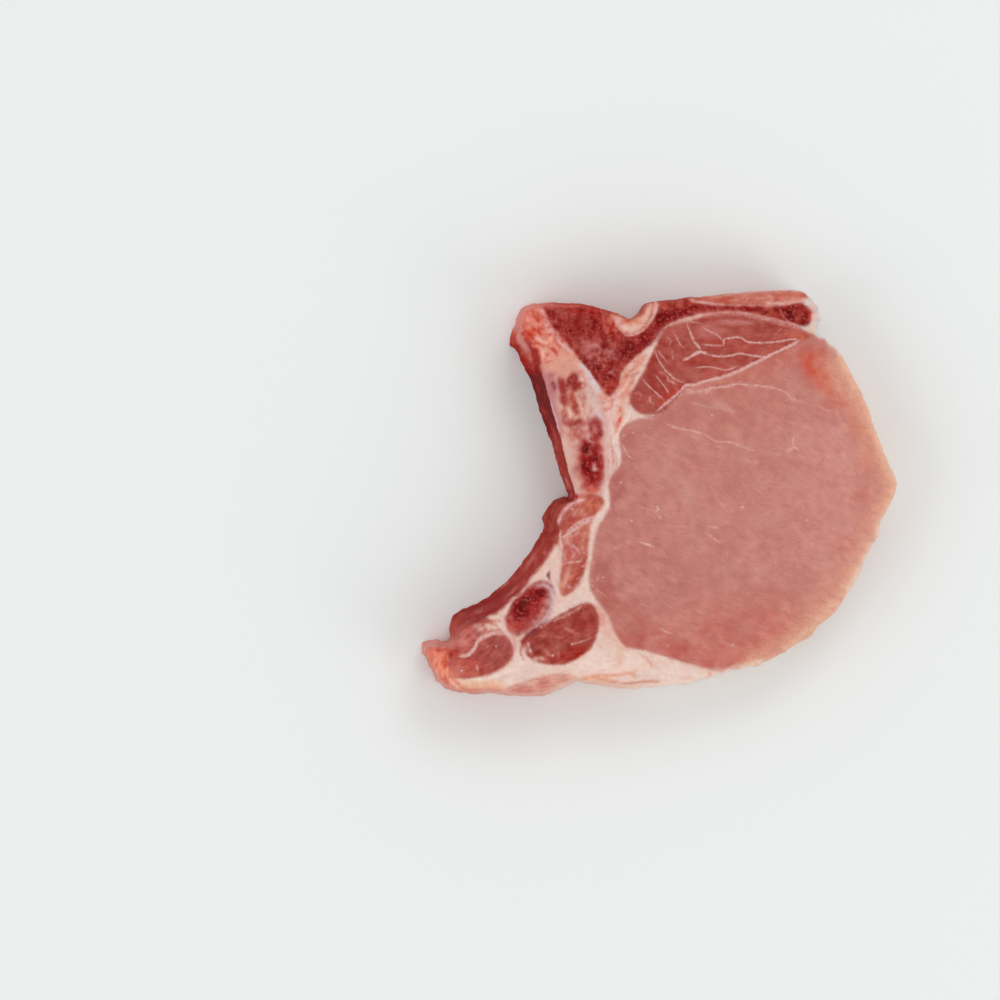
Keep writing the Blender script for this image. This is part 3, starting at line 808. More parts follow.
def inside(loop, points):
    """Which of the points lie inside the loop: those with an odd number of its sides beyond them."""
    order = points[:, 1].argsort()
    x, y = points[order].T
    odd = np.zeros(len(points), dtype=bool)
    for (ax, ay), (bx, by) in zip(loop, np.roll(loop, -1, axis=0)):
        first, last = np.searchsorted(y, sorted((ay, by)))
        if first < last:
            odd[first:last] ^= x[first:last] < ax + (y[first:last] - ay) * (bx - ax) / (by - ay)
    result = np.zeros(len(points), dtype=bool)
    result[order] = odd
    return result


def search_tree(places, rows):
    """Tree that finds the nearest of some rows of the places."""
    tree = KDTree(len(rows))
    for i in rows:
        tree.insert((*places[i], 0), i)
    tree.balance()
    return tree


def to_points(targets, points):
    """Distance from each of the points to the nearest of the targets."""
    tree = search_tree(targets, range(len(targets)))
    return np.array([tree.find((x, y, 0))[2] for x, y in points])


def to_line(line, points):
    """Distance from each of the points to a line, and how far along it the nearest place is."""
    start, along = line[:-1], np.diff(line, axis=0)
    length = np.linalg.norm(along, axis=1).clip(1e-6)
    before = np.concatenate([[0], np.cumsum(length)[:-1]])
    apart = points[:, None, :] - start
    share = ((apart * along).sum(axis=2) / length ** 2).clip(0, 1)
    gap = np.linalg.norm(apart - along * share[:, :, None], axis=2)
    best = gap.argmin(axis=1)
    rows = np.arange(len(points))
    return gap[rows, best], before[best] + share[rows, best] * length[best]


def rough(points, size, seed):
    """Smooth noise between about -1 and 1, with features of the given size."""
    spots = np.zeros((len(points), 3))
    spots[:, :points.shape[1]] = points / size
    spots[:, 2] += seed * 17.3
    return np.array([noise.noise(spot) for spot in spots])


def wobble(points):
    """The plan with natural unevenness in every outline, and the tags that stand out of it."""
    ragged = np.exp(-(np.linalg.norm((points - TAIL_TIP) / TAIL_REACH, axis=1)) ** 2)
    strength = UNEVEN + TAIL_UNEVEN * ragged
    push = np.column_stack([rough(points, 2.8, 1), rough(points, 2.8, 2)])
    fine = np.column_stack([rough(points, 1.2, 3), rough(points, 1.2, 4)])
    moved = points + (push + 0.6 * fine) * strength[:, None]
    for place, radius, out in TAGS:
        place = np.array(place, dtype=float)
        away = np.linalg.norm(points - place, axis=1)
        direction = place / np.linalg.norm(place)
        moved += np.exp(-((away / radius) ** 2))[:, None] * direction * out
    return moved


def mixed(old, new, share):
    """Rows of old moved towards new by each row's share."""
    share = share[:, None]
    return old * (1 - share) + np.asarray(new) * share


def ease(value, low, high):
    """Smooth step from 0 at low to 1 at high."""
    t = ((value - low) / (high - low)).clip(0, 1)
    return t * t * (3 - 2 * t)


# ---------------------------------------------------------------- the form of the chop

def outward_normals(loop):
    """Outward normal at each point of a clockwise loop."""
    along = np.roll(loop, -1, axis=0) - np.roll(loop, 1, axis=0)
    normals = np.stack([-along[:, 1], along[:, 0]], axis=1)
    return normals / np.linalg.norm(normals, axis=1)[:, None]


COARSE_EDGE = smooth_loop(OUTLINE, COARSE_STEP)
COARSE_NORMALS = outward_normals(COARSE_EDGE)
EDGE_DOTS = wobble(smooth_loop(OUTLINE, DOT_STEP))


def near_sides(points, column):
    """A column of SIDES at each of the points, blended between the places."""
    places = np.array([side[0] for side in SIDES], dtype=float)
    values = np.array([np.atleast_1d(side[column]) for side in SIDES], dtype=float)
    away = np.linalg.norm(points[:, None, :] - places[None, :, :], axis=2)
    weights = 1 / (away + 1.0) ** 4
    return weights @ values / weights.sum(axis=1)[:, None]


def outward_pull(points):
    """Unit push away from the chop, the same for points that are close together."""
    pulls = []
    for part in np.array_split(points, 1 + len(points) // 8000):
        away = np.linalg.norm(part[:, None, :] - COARSE_EDGE[None, :, :], axis=2)
        weights = 1 / (away + 2.0) ** 3
        pulls.append(weights @ COARSE_NORMALS / weights.sum(axis=1)[:, None])
    return np.concatenate(pulls)


class Form:
    """What decides where plan points go in space."""

    def __init__(self, plan, dome, lift):
        self.plan = plan
        self.reach = to_points(EDGE_DOTS, plan)
        self.flare = near_sides(plan, FLARE)[:, 0]
        self.rim = near_sides(plan, RIM)[:, 0]
        self.lumps = near_sides(plan, LUMPS)[:, 0]
        self.pull = outward_pull(plan) * np.exp(-((self.reach / FLARE_REACH) ** 2))[:, None]
        self.dome = dome
        self.relief = 0.3 * rough(plan, 9.0, 5) + 0.1 * rough(plan, 3.0, 6) + lift

    def part(self, rows):
        """The same for some of the points."""
        other = Form.__new__(Form)
        for key, value in self.__dict__.items():
            setattr(other, key, value[rows])
        return other

    def at(self, level):
        """Places at a level between 0, the lower face, and 1, the upper."""
        short = (self.rim - self.reach).clip(0)
        full = THICKNESS - self.rim + np.sqrt(self.rim ** 2 - short ** 2) + self.dome
        full += self.relief * ease(self.reach, 0, 2)
        height = full * level
        foot = (FOOT_RADIUS - height).clip(0)
        tuck = FOOT_RADIUS - np.sqrt(FOOT_RADIUS ** 2 - foot ** 2)
        shift = self.flare * (1 - level) ** FLARE_POWER - tuck
        spots = np.column_stack([self.plan, height * 0.6])
        uneven = rough(spots, 5.0, 7) + 0.5 * rough(spots, 1.8, 8)
        shift += self.lumps * uneven * np.exp(-((self.reach / 2.5) ** 2))
        return np.column_stack([self.plan + self.pull * shift[:, None], height])


def plan_middle():
    """Middle of the solids' box in the plan, which is the origin of the frame."""
    levels = (0.075, 0.36, 0.68, 1.0)
    flare = near_sides(COARSE_EDGE, FLARE)
    pull = outward_pull(COARSE_EDGE)
    rows = [COARSE_EDGE + pull * flare * (1 - v) ** FLARE_POWER for v in levels]
    spots = np.concatenate(rows)
    return (spots.min(axis=0) + spots.max(axis=0)) / 2


# ---------------------------------------------------------------- the plan, cut into pieces

def staggered_grid(step, loops):
    """Staggered grid inside the edge, kept clear of the outlines."""
    low, high = EDGE_DOTS.min(axis=0), EDGE_DOTS.max(axis=0)
    ys = np.arange(low[1], high[1], step * math.sqrt(3) / 2)
    x, y = np.meshgrid(np.arange(low[0], high[0], step), ys)
    x = x + step / 2 * (np.arange(len(ys)) % 2)[:, None]
    grid = np.column_stack([x.ravel(), y.ravel()])
    grid = grid[inside(loops[0], grid)]
    return grid[to_points(np.concatenate(loops), grid) > step * 0.5]


def cut_sheet(points, sides):
    """Triangles through the points that keep to the sides, as welded places and corner rows."""
    placed, _, faces, _, _, _ = delaunay_2d_cdt([Vector(p) for p in points], sides, [], 0, 1e-5)
    sheet = bmesh.new()
    corners = [sheet.verts.new((p[0], p[1], 0)) for p in placed]
    for face in faces:
        sheet.faces.new([corners[i] for i in face])
    bmesh.ops.remove_doubles(sheet, verts=sheet.verts, dist=FINE_STEP * WELD)
    sheet.verts.index_update()
    places = np.array([v.co[:2] for v in sheet.verts])
    triangles = np.array([[v.index for v in face.verts] for face in sheet.faces])
    sheet.free()
    return places, triangles


def cut_plan(grid_step):
    """Places and triangles of the whole plan, and the piece that each triangle belongs to."""
    loops = [wobble(smooth_loop(points, FINE_STEP)) for points in [OUTLINE, *PIECES.values()]]
    sides = []
    first = 0
    for loop in loops:
        count = len(loop)
        sides += [(first + i, first + (i + 1) % count) for i in range(count)]
        first += count
    points = np.concatenate([*loops, staggered_grid(grid_step, loops)])
    places, triangles = cut_sheet(points, sides)
    middles = places[triangles].mean(axis=1)
    held = inside(loops[0], middles)
    triangles, middles = triangles[held], middles[held]
    names = np.full(len(triangles), "fat", dtype=object)
    for name, loop in zip(PIECES, loops[1:]):
        names[inside(loop, middles)] = name
    return places, triangles, tidy_names(triangles, names)


def side_pairs(triangles):
    """Directed sides of the triangles."""
    return triangles[:, [[0, 1], [1, 2], [2, 0]]].reshape(-1, 2)


def tidy_names(triangles, names):
    """Give every patch that is cut off from the rest of its piece to the piece around it."""
    owners = {tuple(side): i // 3 for i, side in enumerate(side_pairs(triangles).tolist())}
    beside = [[owners[(b, a)] for a, b in ((t[0], t[1]), (t[1], t[2]), (t[2], t[0]))
               if (b, a) in owners] for t in triangles.tolist()]
    for name in NAMES:
        patches = []
        left = set(np.flatnonzero(names == name).tolist())
        while left:
            patch = [left.pop()]
            for i in patch:
                new = [j for j in beside[i] if j in left]
                left.difference_update(new)
                patch += new
            patches.append(patch)
        patches.sort(key=len)
        for patch in patches[:-1]:
            around = [names[j] for i in patch for j in beside[i] if names[j] != name]
            names[patch] = max(set(around), key=around.count)
    return names


def borders(triangles):
    """Directed border sides of a set of triangles."""
    sides = side_pairs(triangles)
    size = triangles.max() + 1
    back = sides[:, 1] * size + sides[:, 0]
    return [tuple(side) for side in sides[~np.isin(back, sides @ (size, 1))].tolist()]


# ---------------------------------------------------------------- painting

def linear(colour):
    """A colour of 255 as linear values."""
    return ((np.asarray(colour, dtype=float) / 255 + 0.055) / 1.055) ** 2.4


class Canvas:
    """Plan points with the colour painted on each, and how much of each is white seam."""

    def __init__(self, plan, triangles, names):
        self.plan = plan
        self.tone = np.zeros((len(plan), 3))
        self.seam = np.zeros(len(plan))
        self.wall = np.zeros(len(plan))
        self.fine = rough(plan, 0.8, 20)
        self.medium = rough(plan, 2.2, 21)
        self.rows = {}
        count = np.zeros(len(plan))
        for name in NAMES:
            rows = np.unique(triangles[names == name])
            self.rows[name] = rows
            self.tone[rows] += BASE[name]
            count[rows] += 1
        self.tone /= count.clip(1)[:, None]

    def near(self, name, low, high):
        """Rows of a piece's points inside a box."""
        rows = self.rows[name]
        return rows[within(self.plan[rows], low, high)]

    def blend(self, rows, colour, share):
        """Move the tone of some points towards a colour."""
        self.tone[rows] = mixed(self.tone[rows], colour, share.clip(0, 1))

    def patch(self, name, middle, radii, colour, strength=0.9, turn=0):
        """A ragged spot of colour."""
        middle, reach = np.array(middle, dtype=float), 2.2 * max(radii)
        rows = self.near(name, middle - reach, middle + reach)
        angle = math.radians(turn)
        flat = self.plan[rows] - middle
        along = flat @ (math.cos(angle), math.sin(angle))
        across = flat @ (-math.sin(angle), math.cos(angle))
        size = np.hypot(along / radii[0], across / radii[1])
        size *= 1 + 0.3 * self.medium[rows] + 0.22 * self.fine[rows]
        soft = min(0.75, 0.3 + 0.08 * min(radii))
        self.blend(rows, colour, strength * (1 - ease(size, 1 - soft, 1 + soft)))

    def line_share(self, rows, width, strength, line):
        """How strong a line is at some of the points, thinning towards its ends."""
        gap, along = to_line(line, self.plan[rows])
        length = np.linalg.norm(np.diff(line, axis=0), axis=1).sum()
        taper = ease(np.minimum(along, length - along), -0.3, min(1.5, length / 3))
        spread = width * (1 + 0.4 * self.medium[rows]) * (0.55 + 0.45 * taper)
        share = strength * (0.6 + 0.4 * taper) * np.exp(-((gap / spread) ** 2))
        return share * (1 + 0.5 * self.fine[rows])

    def line(self, name, width, colour, strength, points):
        """A coloured line on a piece."""
        line = smooth_line(points, 0.5)
        rows = self.near(name, line.min(axis=0) - 3 * width, line.max(axis=0) + 3 * width)
        self.blend(rows, colour, self.line_share(rows, width, strength, line))

    def white(self, width, strength, line):
        """A white seam, over whichever lean meat it crosses."""
        rows = within(self.plan, line.min(axis=0) - 3 * width, line.max(axis=0) + 3 * width)
        share = self.line_share(rows, width, strength, line)
        self.seam[rows] = np.maximum(self.seam[rows], share)

    def hairs(self, points, length, turn, count):
        """Fine white hairs that stand off a seam."""
        line = smooth_line(points, 0.3)
        for i in chance.integers(0, len(line), count):
            angle = math.radians(turn + chance.normal(0, 22))
            reach = length * chance.uniform(0.4, 1.4)
            way = np.array([math.cos(angle), math.sin(angle)])
            start = line[i] + chance.normal(0, 0.2, 2)
            hair = np.array([start, start + way * reach])
            self.white(chance.uniform(0.2, 0.36), chance.uniform(0.3, 0.7), hair)

    def flecks(self, name, middle, radii, count, length, turn, width, light, dark, strength):
        """Short light and dark strokes scattered over an oval."""
        for colour in [light, dark] * count:
            away, angle = math.sqrt(chance.uniform()), chance.uniform(0, math.tau)
            place = np.array(middle) + away * np.array(radii) * (math.cos(angle), math.sin(angle))
            angle = math.radians(turn + chance.normal(0, 12))
            way = np.array([math.cos(angle), math.sin(angle)])
            half = way * length * chance.uniform(0.3, 0.8)
            points = np.array([place - half, place + way[::-1] * (0.1, -0.1), place + half])
            rows = self.near(name, points.min(axis=0) - 1, points.max(axis=0) + 1)
            if len(rows):
                share = self.line_share(rows, width, strength * chance.uniform(0.4, 1), points)
                self.blend(rows, colour, share)

    def mottle(self, name, size, seed, start, full, colour, strength):
        """Spots of colour where a noise is strong."""
        rows = self.rows[name]
        share = strength * ease(rough(self.plan[rows], size, seed), start, full)
        self.blend(rows, colour, share)

    def soften(self, triangles, rounds):
        """Blend the colours of neighbouring points."""
        pairs = np.unique(np.sort(side_pairs(triangles), axis=1), axis=0)
        count = 1 + np.bincount(pairs.ravel(), minlength=len(self.plan))
        for _ in range(rounds):
            total = self.tone.copy()
            np.add.at(total, pairs[:, 0], self.tone[pairs[:, 1]])
            np.add.at(total, pairs[:, 1], self.tone[pairs[:, 0]])
            self.tone = total / count[:, None]

    def rim(self, form):
        """Side colours that come up over the rounded rim."""
        drop = (form.rim - form.reach) / form.rim
        self.wall = ease(drop + 0.4 * self.medium + 0.15 * self.fine, 0.15, 1.25)
        self.blend(slice(None), near_sides(self.plan, TINT), self.wall)


def paint(places, triangles, names, form):
    """The whole plan, painted."""
    canvas = Canvas(places, triangles, names)
    for name, patches in PATCHES.items():
        for patch in patches:
            canvas.patch(name, *patch)
    for name, mottles in MOTTLES.items():
        for mottle in mottles:
            canvas.mottle(name, *mottle)
    canvas.soften(triangles, SOFTEN)
    canvas.rim(form)
    for name, lines in LINES.items():
        for line in lines:
            canvas.line(name, *line)
    for fleck in FLECKS:
        canvas.flecks(*fleck)
    canvas.soften(triangles, 1)
    for width, strength, points in SEAMS:
        canvas.white(width, strength, smooth_line(points, 0.4))
    for spot in SPECKS:
        canvas.white(0.34, 1.0, np.array([spot, np.array(spot) + (0.3, -0.1)]))
    for hair in HAIRS:
        canvas.hairs(*hair)
    swing = 1 + 0.02 * rough(places, 9.0, 10) + 0.025 * canvas.medium
    canvas.tone *= swing[:, None]
    return canvas


# ---------------------------------------------------------------- materials

DULL_ROUGHNESS = 0.7      # of the dark sides, where a smooth film would mirror the pale floor
HAZE = 0.009              # what the film's reflection adds, so the paint is that much darker


class Nodes:
    """Short words for building a material's nodes."""

    def __init__(self, name):
        self.material = bpy.data.materials.new(name)
        self.material.use_nodes = True
        self.tree = self.material.node_tree
        self.shader = self.tree.nodes["Principled BSDF"]

    def feed(self, socket, value):
        """Link a socket, or set its value."""
        if isinstance(value, bpy.types.NodeSocket):
            self.tree.links.new(value, socket)
        else:
            socket.default_value = value

    def put(self, node=None, **inputs):
        """Feed inputs of a node, or of the shader."""
        for key, value in inputs.items():
            self.feed((node or self.shader).inputs[key.replace("_", " ")], value)

    def node(self, kind, settings=None, **inputs):
        """A node with some of its properties and inputs set."""
        node = self.tree.nodes.new(kind)
        for key, value in (settings or {}).items():
            setattr(node, key, value)
        self.put(node, **inputs)
        return node

    def attribute(self, name, output):
        """A value painted on the points."""
        return self.node("ShaderNodeAttribute", {"attribute_name": name}).outputs[output]

    def noise(self, size, detail=2.0, stretch=(1, 1, 1), turn=0.0):
        """Noise between 0 and 1 with features of a size in millimetres."""
        where = self.node("ShaderNodeTexCoord").outputs["Object"]
        scale = [1 / (MM * size * s) for s in stretch]
        turned = self.node("ShaderNodeMapping", Vector=where, Rotation=(0, 0, turn))
        sized = self.node("ShaderNodeMapping", Vector=turned.outputs[0], Scale=scale)
        return self.node("ShaderNodeTexNoise", Vector=sized.outputs[0], Scale=1.0,
                         Detail=detail).outputs["Fac"]

    def math(self, operation, a, b=0.0):
        """One sum."""
        node = self.node("ShaderNodeMath", {"operation": operation})
        self.feed(node.inputs[0], a)
        self.feed(node.inputs[1], b)
        return node.outputs[0]

    def step(self, value, low, high, bottom=0.0, top=1.0):
        """Smooth step of a value."""
        node = self.node("ShaderNodeMapRange", {"interpolation_type": "SMOOTHSTEP"}, Value=value,
                         From_Min=low, From_Max=high, To_Min=bottom, To_Max=top)
        return node.outputs[0]

    def mix(self, share, a, b, kind="MIX"):
        """Mixed colours."""
        node = self.node("ShaderNodeMix", {"data_type": "RGBA", "blend_type": kind})
        self.feed(node.inputs[0], share)
        self.feed(node.inputs[6], a)
        self.feed(node.inputs[7], b)
        return node.outputs[2]

    def faded(self, value, share):
        """A noise brought back to its middle by a share."""
        return self.math("ADD", value, self.math("MULTIPLY", self.math("SUBTRACT", 0.5, value), share))

    def shaded(self, colour, value, depth):
        """A colour made darker and lighter by a value between 0 and 1."""
        swing = self.step(value, 0.25, 0.75, 1 - depth, 1 + depth)
        grey = self.node("ShaderNodeCombineColor", Red=swing, Green=swing, Blue=swing).outputs[0]
        return self.mix(1.0, colour, grey, "MULTIPLY")

    def moist(self, soft, coat):
        """Slightly see-through flesh with a wet film."""
        film = self.step(self.attribute("dull", "Fac"), 0.0, 1.0, coat, 0.0)
        self.put(Subsurface_Weight=soft, Subsurface_Radius=(1.0, 0.4, 0.3), Subsurface_Scale=0.8 * MM,
                 Specular_IOR_Level=0.08, Coat_Weight=film, Coat_Roughness=0.16, Coat_IOR=1.33)

    def finish(self, colour, height, bump, roughness):
        """Connect the shader and return the material."""
        dull = self.math("MULTIPLY", self.attribute("dull", "Fac"), DULL_ROUGHNESS)
        relief = self.node("ShaderNodeBump", Strength=bump, Distance=MM, Height=height)
        self.put(Base_Color=colour, Roughness=self.math("MAXIMUM", roughness, dull),
                 Normal=relief.outputs[0])
        return self.material


def rgba(colour):
    """A colour of 255 as a socket takes it."""
    return [*linear(colour), 1.0]


def lean_material(name, grain, turn):
    """Cut lean meat: ends of fibres on the cut face, fibres down the sides, and white seams."""
    nodes = Nodes(name)
    colour = nodes.attribute("tone", "Color")
    wall = nodes.attribute("wall", "Fac")
    ends = nodes.faded(nodes.noise(0.6, 3.0, (1, 1, 7)), nodes.math("MULTIPLY", wall, 0.75))
    streak = nodes.faded(nodes.noise(0.5, 2.0, (5, 1, 8), turn), nodes.math("MULTIPLY", wall, 0.85))
    cloud = nodes.noise(4.0, 3.0)
    colour = nodes.mix(nodes.step(cloud, 0.45, 0.7, 0, 0.16), colour, rgba((208, 142, 120)))
    colour = nodes.shaded(colour, streak, grain)
    colour = nodes.shaded(colour, ends, grain)
    ragged = nodes.math("MULTIPLY", nodes.math("SUBTRACT", nodes.noise(0.8, 3.0), 0.5), 0.8)
    share = nodes.step(nodes.math("ADD", nodes.attribute("seam", "Fac"), ragged), 0.05, 1.25)
    colour = nodes.mix(share, colour, rgba(SEAM_WHITE))
    height = nodes.math("ADD", nodes.math("MULTIPLY", ends, 0.7), nodes.math("MULTIPLY", streak, 0.7))
    height = nodes.math("ADD", height, nodes.math("MULTIPLY", share, 0.5))
    nodes.moist(0.1, 0.18)
    return nodes.finish(colour, height, 0.14, nodes.step(cloud, 0.3, 0.7, 0.38, 0.52))


def fat_material(name):
    """Firm fat: creamy, slightly lumpy, with pink clouds and fine threads."""
    nodes = Nodes(name)
    colour = nodes.attribute("tone", "Color")
    cloud = nodes.noise(3.0, 4.0)
    fine = nodes.noise(0.8, 3.0)
    thread = nodes.math("ABSOLUTE", nodes.math("SUBTRACT", nodes.noise(1.6, 2.0), 0.5))
    open_face = nodes.step(nodes.attribute("wall", "Fac"), 0.0, 0.7, 1.0, 0.3)
    pink = nodes.math("MULTIPLY", nodes.step(cloud, 0.5, 0.72, 0, 0.3), open_face)
    colour = nodes.mix(pink, colour, rgba((222, 164, 148)))
    thin = nodes.math("MULTIPLY", nodes.step(thread, 0.04, 0.0, 0, 0.3),
                      nodes.step(open_face, 0.4, 1.0))
    colour = nodes.mix(thin, colour, rgba((242, 224, 214)))
    colour = nodes.shaded(colour, fine, 0.035)
    height = nodes.math("ADD", cloud, nodes.math("MULTIPLY", fine, 0.35))
    nodes.moist(0.2, 0.14)
    return nodes.finish(colour, height, 0.25, nodes.step(cloud, 0.3, 0.7, 0.4, 0.55))


def bone_material(name):
    """Sawn bone: pale dense shell, and dark marrow with a mesh of bony threads in it."""
    nodes = Nodes(name)
    tone = nodes.attribute("tone", "Color")
    marrow = nodes.math("MULTIPLY", nodes.attribute("marrow", "Fac"),
                        nodes.step(nodes.attribute("wall", "Fac"), 0.0, 1.0, 1.0, 0.3))
    grit = nodes.noise(0.9, 3.0)
    pore = nodes.noise(0.7, 3.0)
    light = nodes.step(grit, 0.5, 0.72, 0, 0.55)
    light = nodes.math("MULTIPLY", light, nodes.step(marrow, 0, 1, 0.15, 1.0))
    colour = nodes.mix(light, tone, rgba((196, 100, 90)))
    dark = nodes.step(pore, 0.48, 0.75, 0, 0.6)
    dark = nodes.math("MULTIPLY", dark, nodes.step(marrow, 0, 1, 0.15, 1.0))
    colour = nodes.mix(dark, colour, rgba((108, 16, 18)))
    height = nodes.math("SUBTRACT", grit, nodes.math("MULTIPLY", dark, 1.0))
    nodes.moist(0.05, 0.16)
    return nodes.finish(colour, height, 0.3, nodes.step(grit, 0.3, 0.7, 0.5, 0.36))


def gristle_material(name, veins):
    """Tendon and cartilage: soft clouds with a few red veins."""
    nodes = Nodes(name)
    tone = nodes.attribute("tone", "Color")
    cloud = nodes.noise(1.8, 4.0)
    vein = nodes.math("ABSOLUTE", nodes.math("SUBTRACT", nodes.noise(2.6, 2.0), 0.5))
    red = nodes.step(vein, 0.02, 0.0, 0, veins)
    colour = nodes.shaded(tone, cloud, 0.1)
    colour = nodes.mix(red, colour, rgba((200, 76, 60)))
    nodes.moist(0.12, 0.2)
    return nodes.finish(colour, cloud, 0.35, 0.38)


# What each piece is made of. The numbers are how strong the grain of lean meat is and which way it
# runs, in radians, or how red the veins of gristle are.
MATERIALS = {
    "fat": (fat_material,),
    "eye_muscle": (lean_material, 0.05, 0.4),
    "multifidus_muscle": (lean_material, 0.08, -0.15),
    "ligament": (gristle_material, 0.5),
    "rib_head": (bone_material,),
    "intercostal_muscle": (lean_material, 0.1, -0.9),
    "strip_muscle": (lean_material, 0.08, -0.05),
    "tip_cartilage": (gristle_material, 0.0),
    "feather_bone": (bone_material,),
    "canal_fat": (fat_material,),
    "rib_tip": (bone_material,),
    "flank_muscle": (lean_material, 0.1, -0.35),
    "tail_muscle": (lean_material, 0.1, -0.5),
    "tail_end": (lean_material, 0.1, -1.5),
    "skirt_muscle": (lean_material, 0.1, -0.1),
}


# ---------------------------------------------------------------- building the pieces

def side_levels():
    """Levels of the rows down a side, closer together at the foot."""
    foot = [0.0, 0.004, 0.015, 0.035, 0.06]
    count = round(THICKNESS / SIDE_STEP)
    return foot + [0.06 + 0.94 * (i + 1) / count for i in range(count)]


class Face:
    """The upper or the lower cut face: its plan, its form and its paint."""

    def __init__(self, grid_step):
        self.places, self.triangles, self.names = cut_plan(grid_step)
        ring = set()
        for name in NAMES:
            ring.update(a for a, b in borders(self.triangles[self.names == name]))
        self.ring = sorted(ring)
        height = np.zeros(len(self.places))
        for name, rise in DOMES.items():
            height[np.unique(self.triangles[self.names == name])] = rise
        to_border = to_points(self.places[self.ring], self.places)
        dome = height * ease(to_border, 0, DOME_REACH)
        lift = 0.04 * rough(self.places, 1.3, 14)
        self.form = Form(self.places, dome, lift)
        self.canvas = paint(self.places, self.triangles, self.names, self.form)

    def piece(self, name):
        """Triangles of one piece, and the rows of the points that it uses."""
        triangles = self.triangles[self.names == name]
        return triangles, np.unique(triangles)


NEAR_RIM = 3.0            # inner walls follow the sides' curve this close to them
STRANDS = (1, 1, 0.4)     # blotches on the sides run down them, as the meat's strands do
FILM = 0.8                # how strong the flesh shows in them
BLOOD = 0.6               # how strong the blood shows between them
REDDENED = (0.86, 0.62, 0.62)     # what is left of a colour under blood


class Shell:
    """Points, faces and paint of one piece while it is being put together."""

    def __init__(self):
        self.spots, self.tone, self.seam, self.wall, self.faces = [], [], [], [], []
        self.count = 0
        self.inner = []

    def add(self, spots, tone, seam, wall):
        """Add points, and return the row of the first."""
        self.spots.append(spots)
        self.tone.append(tone)
        self.seam.append(seam)
        self.wall.append(wall)
        self.count += len(spots)
        return self.count - len(spots)

    def add_face(self, face, name, level, turned):
        """Add a cut face, and return the new row of each of its points."""
        triangles, used = face.piece(name)
        canvas = face.canvas
        spots = face.form.part(used).at(level)
        first = self.add(spots, canvas.tone[used], canvas.seam[used], canvas.wall[used])
        row = np.full(len(face.places), -1)
        row[used] = np.arange(len(used)) + first
        corners = row[triangles]
        self.faces += (corners[:, ::-1] if turned else corners).tolist()
        return row

    def add_sides(self, face, rim, levels):
        """Add the rows of points between the cut faces on the outer side of the chop."""
        form = face.form.part(rim)
        full = form.at(1.0)[:, 2]
        wall = face.canvas.wall[rim]
        target = near_sides(form.plan, TINT)
        deep = ease(-target[:, 1], -170, -70) * 0.75 + 0.25
        first = self.count
        for level in levels:
            spots = form.at(level)
            drop = (full - spots[:, 2] + form.rim) / form.rim
            blotch = rough(spots * STRANDS, 2.2, 12) + 0.6 * rough(spots * STRANDS, 6.0, 13)
            share = ease(drop + 0.25 * blotch, 0.7, 2.0)
            side = mixed(target, (target + SIDE_FLESH) / 2, ease(blotch, 0.1, 1.0) * FILM)
            side = mixed(side, side * REDDENED, ease(-blotch, 0.1, 1.0) * deep * BLOOD)
            for place, radii, colour, strength in SIDE_SPOTS:
                apart = (((spots - place) / radii) ** 2).sum(axis=1) * (1 + 0.5 * blotch)
                side = mixed(side, colour, strength * np.exp(-apart))
            tone = mixed(face.canvas.tone[rim], side, share)
            self.add(spots, tone, face.canvas.seam[rim] * (1 - share), np.maximum(wall, share))
        return first


def build(name, upper, lower, outer):
    """One piece: its cut faces, its part of the chop's side and its inner walls."""
    shell = Shell()
    row = shell.add_face(upper, name, 1.0, False)
    low_row = shell.add_face(lower, name, 0.0, True)
    border = borders(upper.piece(name)[0])
    tree = search_tree(lower.places, [i for i in lower.ring if low_row[i] >= 0])
    twin = {a: low_row[tree.find((*upper.places[a], 0))[1]] for a, b in border}
    columns = {a: [twin[a], row[a]] for a, b in border}
    ends = np.unique(np.array(border))
    rim = ends[upper.form.reach[ends] < NEAR_RIM]
    levels = side_levels()[1:-1]
    if len(rim):
        first = shell.add_sides(upper, rim, levels)
        for i, point in enumerate(rim.tolist()):
            inner = [first + k * len(rim) + i for k in range(len(levels))]
            columns[point] = [twin[point], *inner, row[point]]
    for a, b in border:
        left, right = columns[a], columns[b]
        start = len(shell.faces)
        if len(left) == len(right):
            steps = range(len(left) - 1)
            rings = [[left[k], right[k], right[k + 1], left[k + 1]] for k in steps]
        else:
            rings = [[*left, *reversed(right)]]
        shell.faces += [list(dict.fromkeys(ring)) for ring in rings]
        if (a, b) not in outer:
            shell.inner += range(start, len(shell.faces))
    return shell


def paint_points(mesh, tone, seam, wall):
    """Store the paint on the points of a mesh, for the materials to read."""
    colour = (linear(tone) - HAZE).clip(0.001)
    layer = mesh.color_attributes.new("tone", "FLOAT_COLOR", "POINT")
    layer.data.foreach_set("color", np.column_stack([colour, np.ones(len(tone))]).ravel())
    dark = ease(-tone[:, 1], -130, -60)
    for name, values in (("seam", seam), ("marrow", dark), ("wall", wall), ("dull", dark * wall)):
        layer = mesh.attributes.new(name, "FLOAT", "POINT")
        layer.data.foreach_set("value", values)


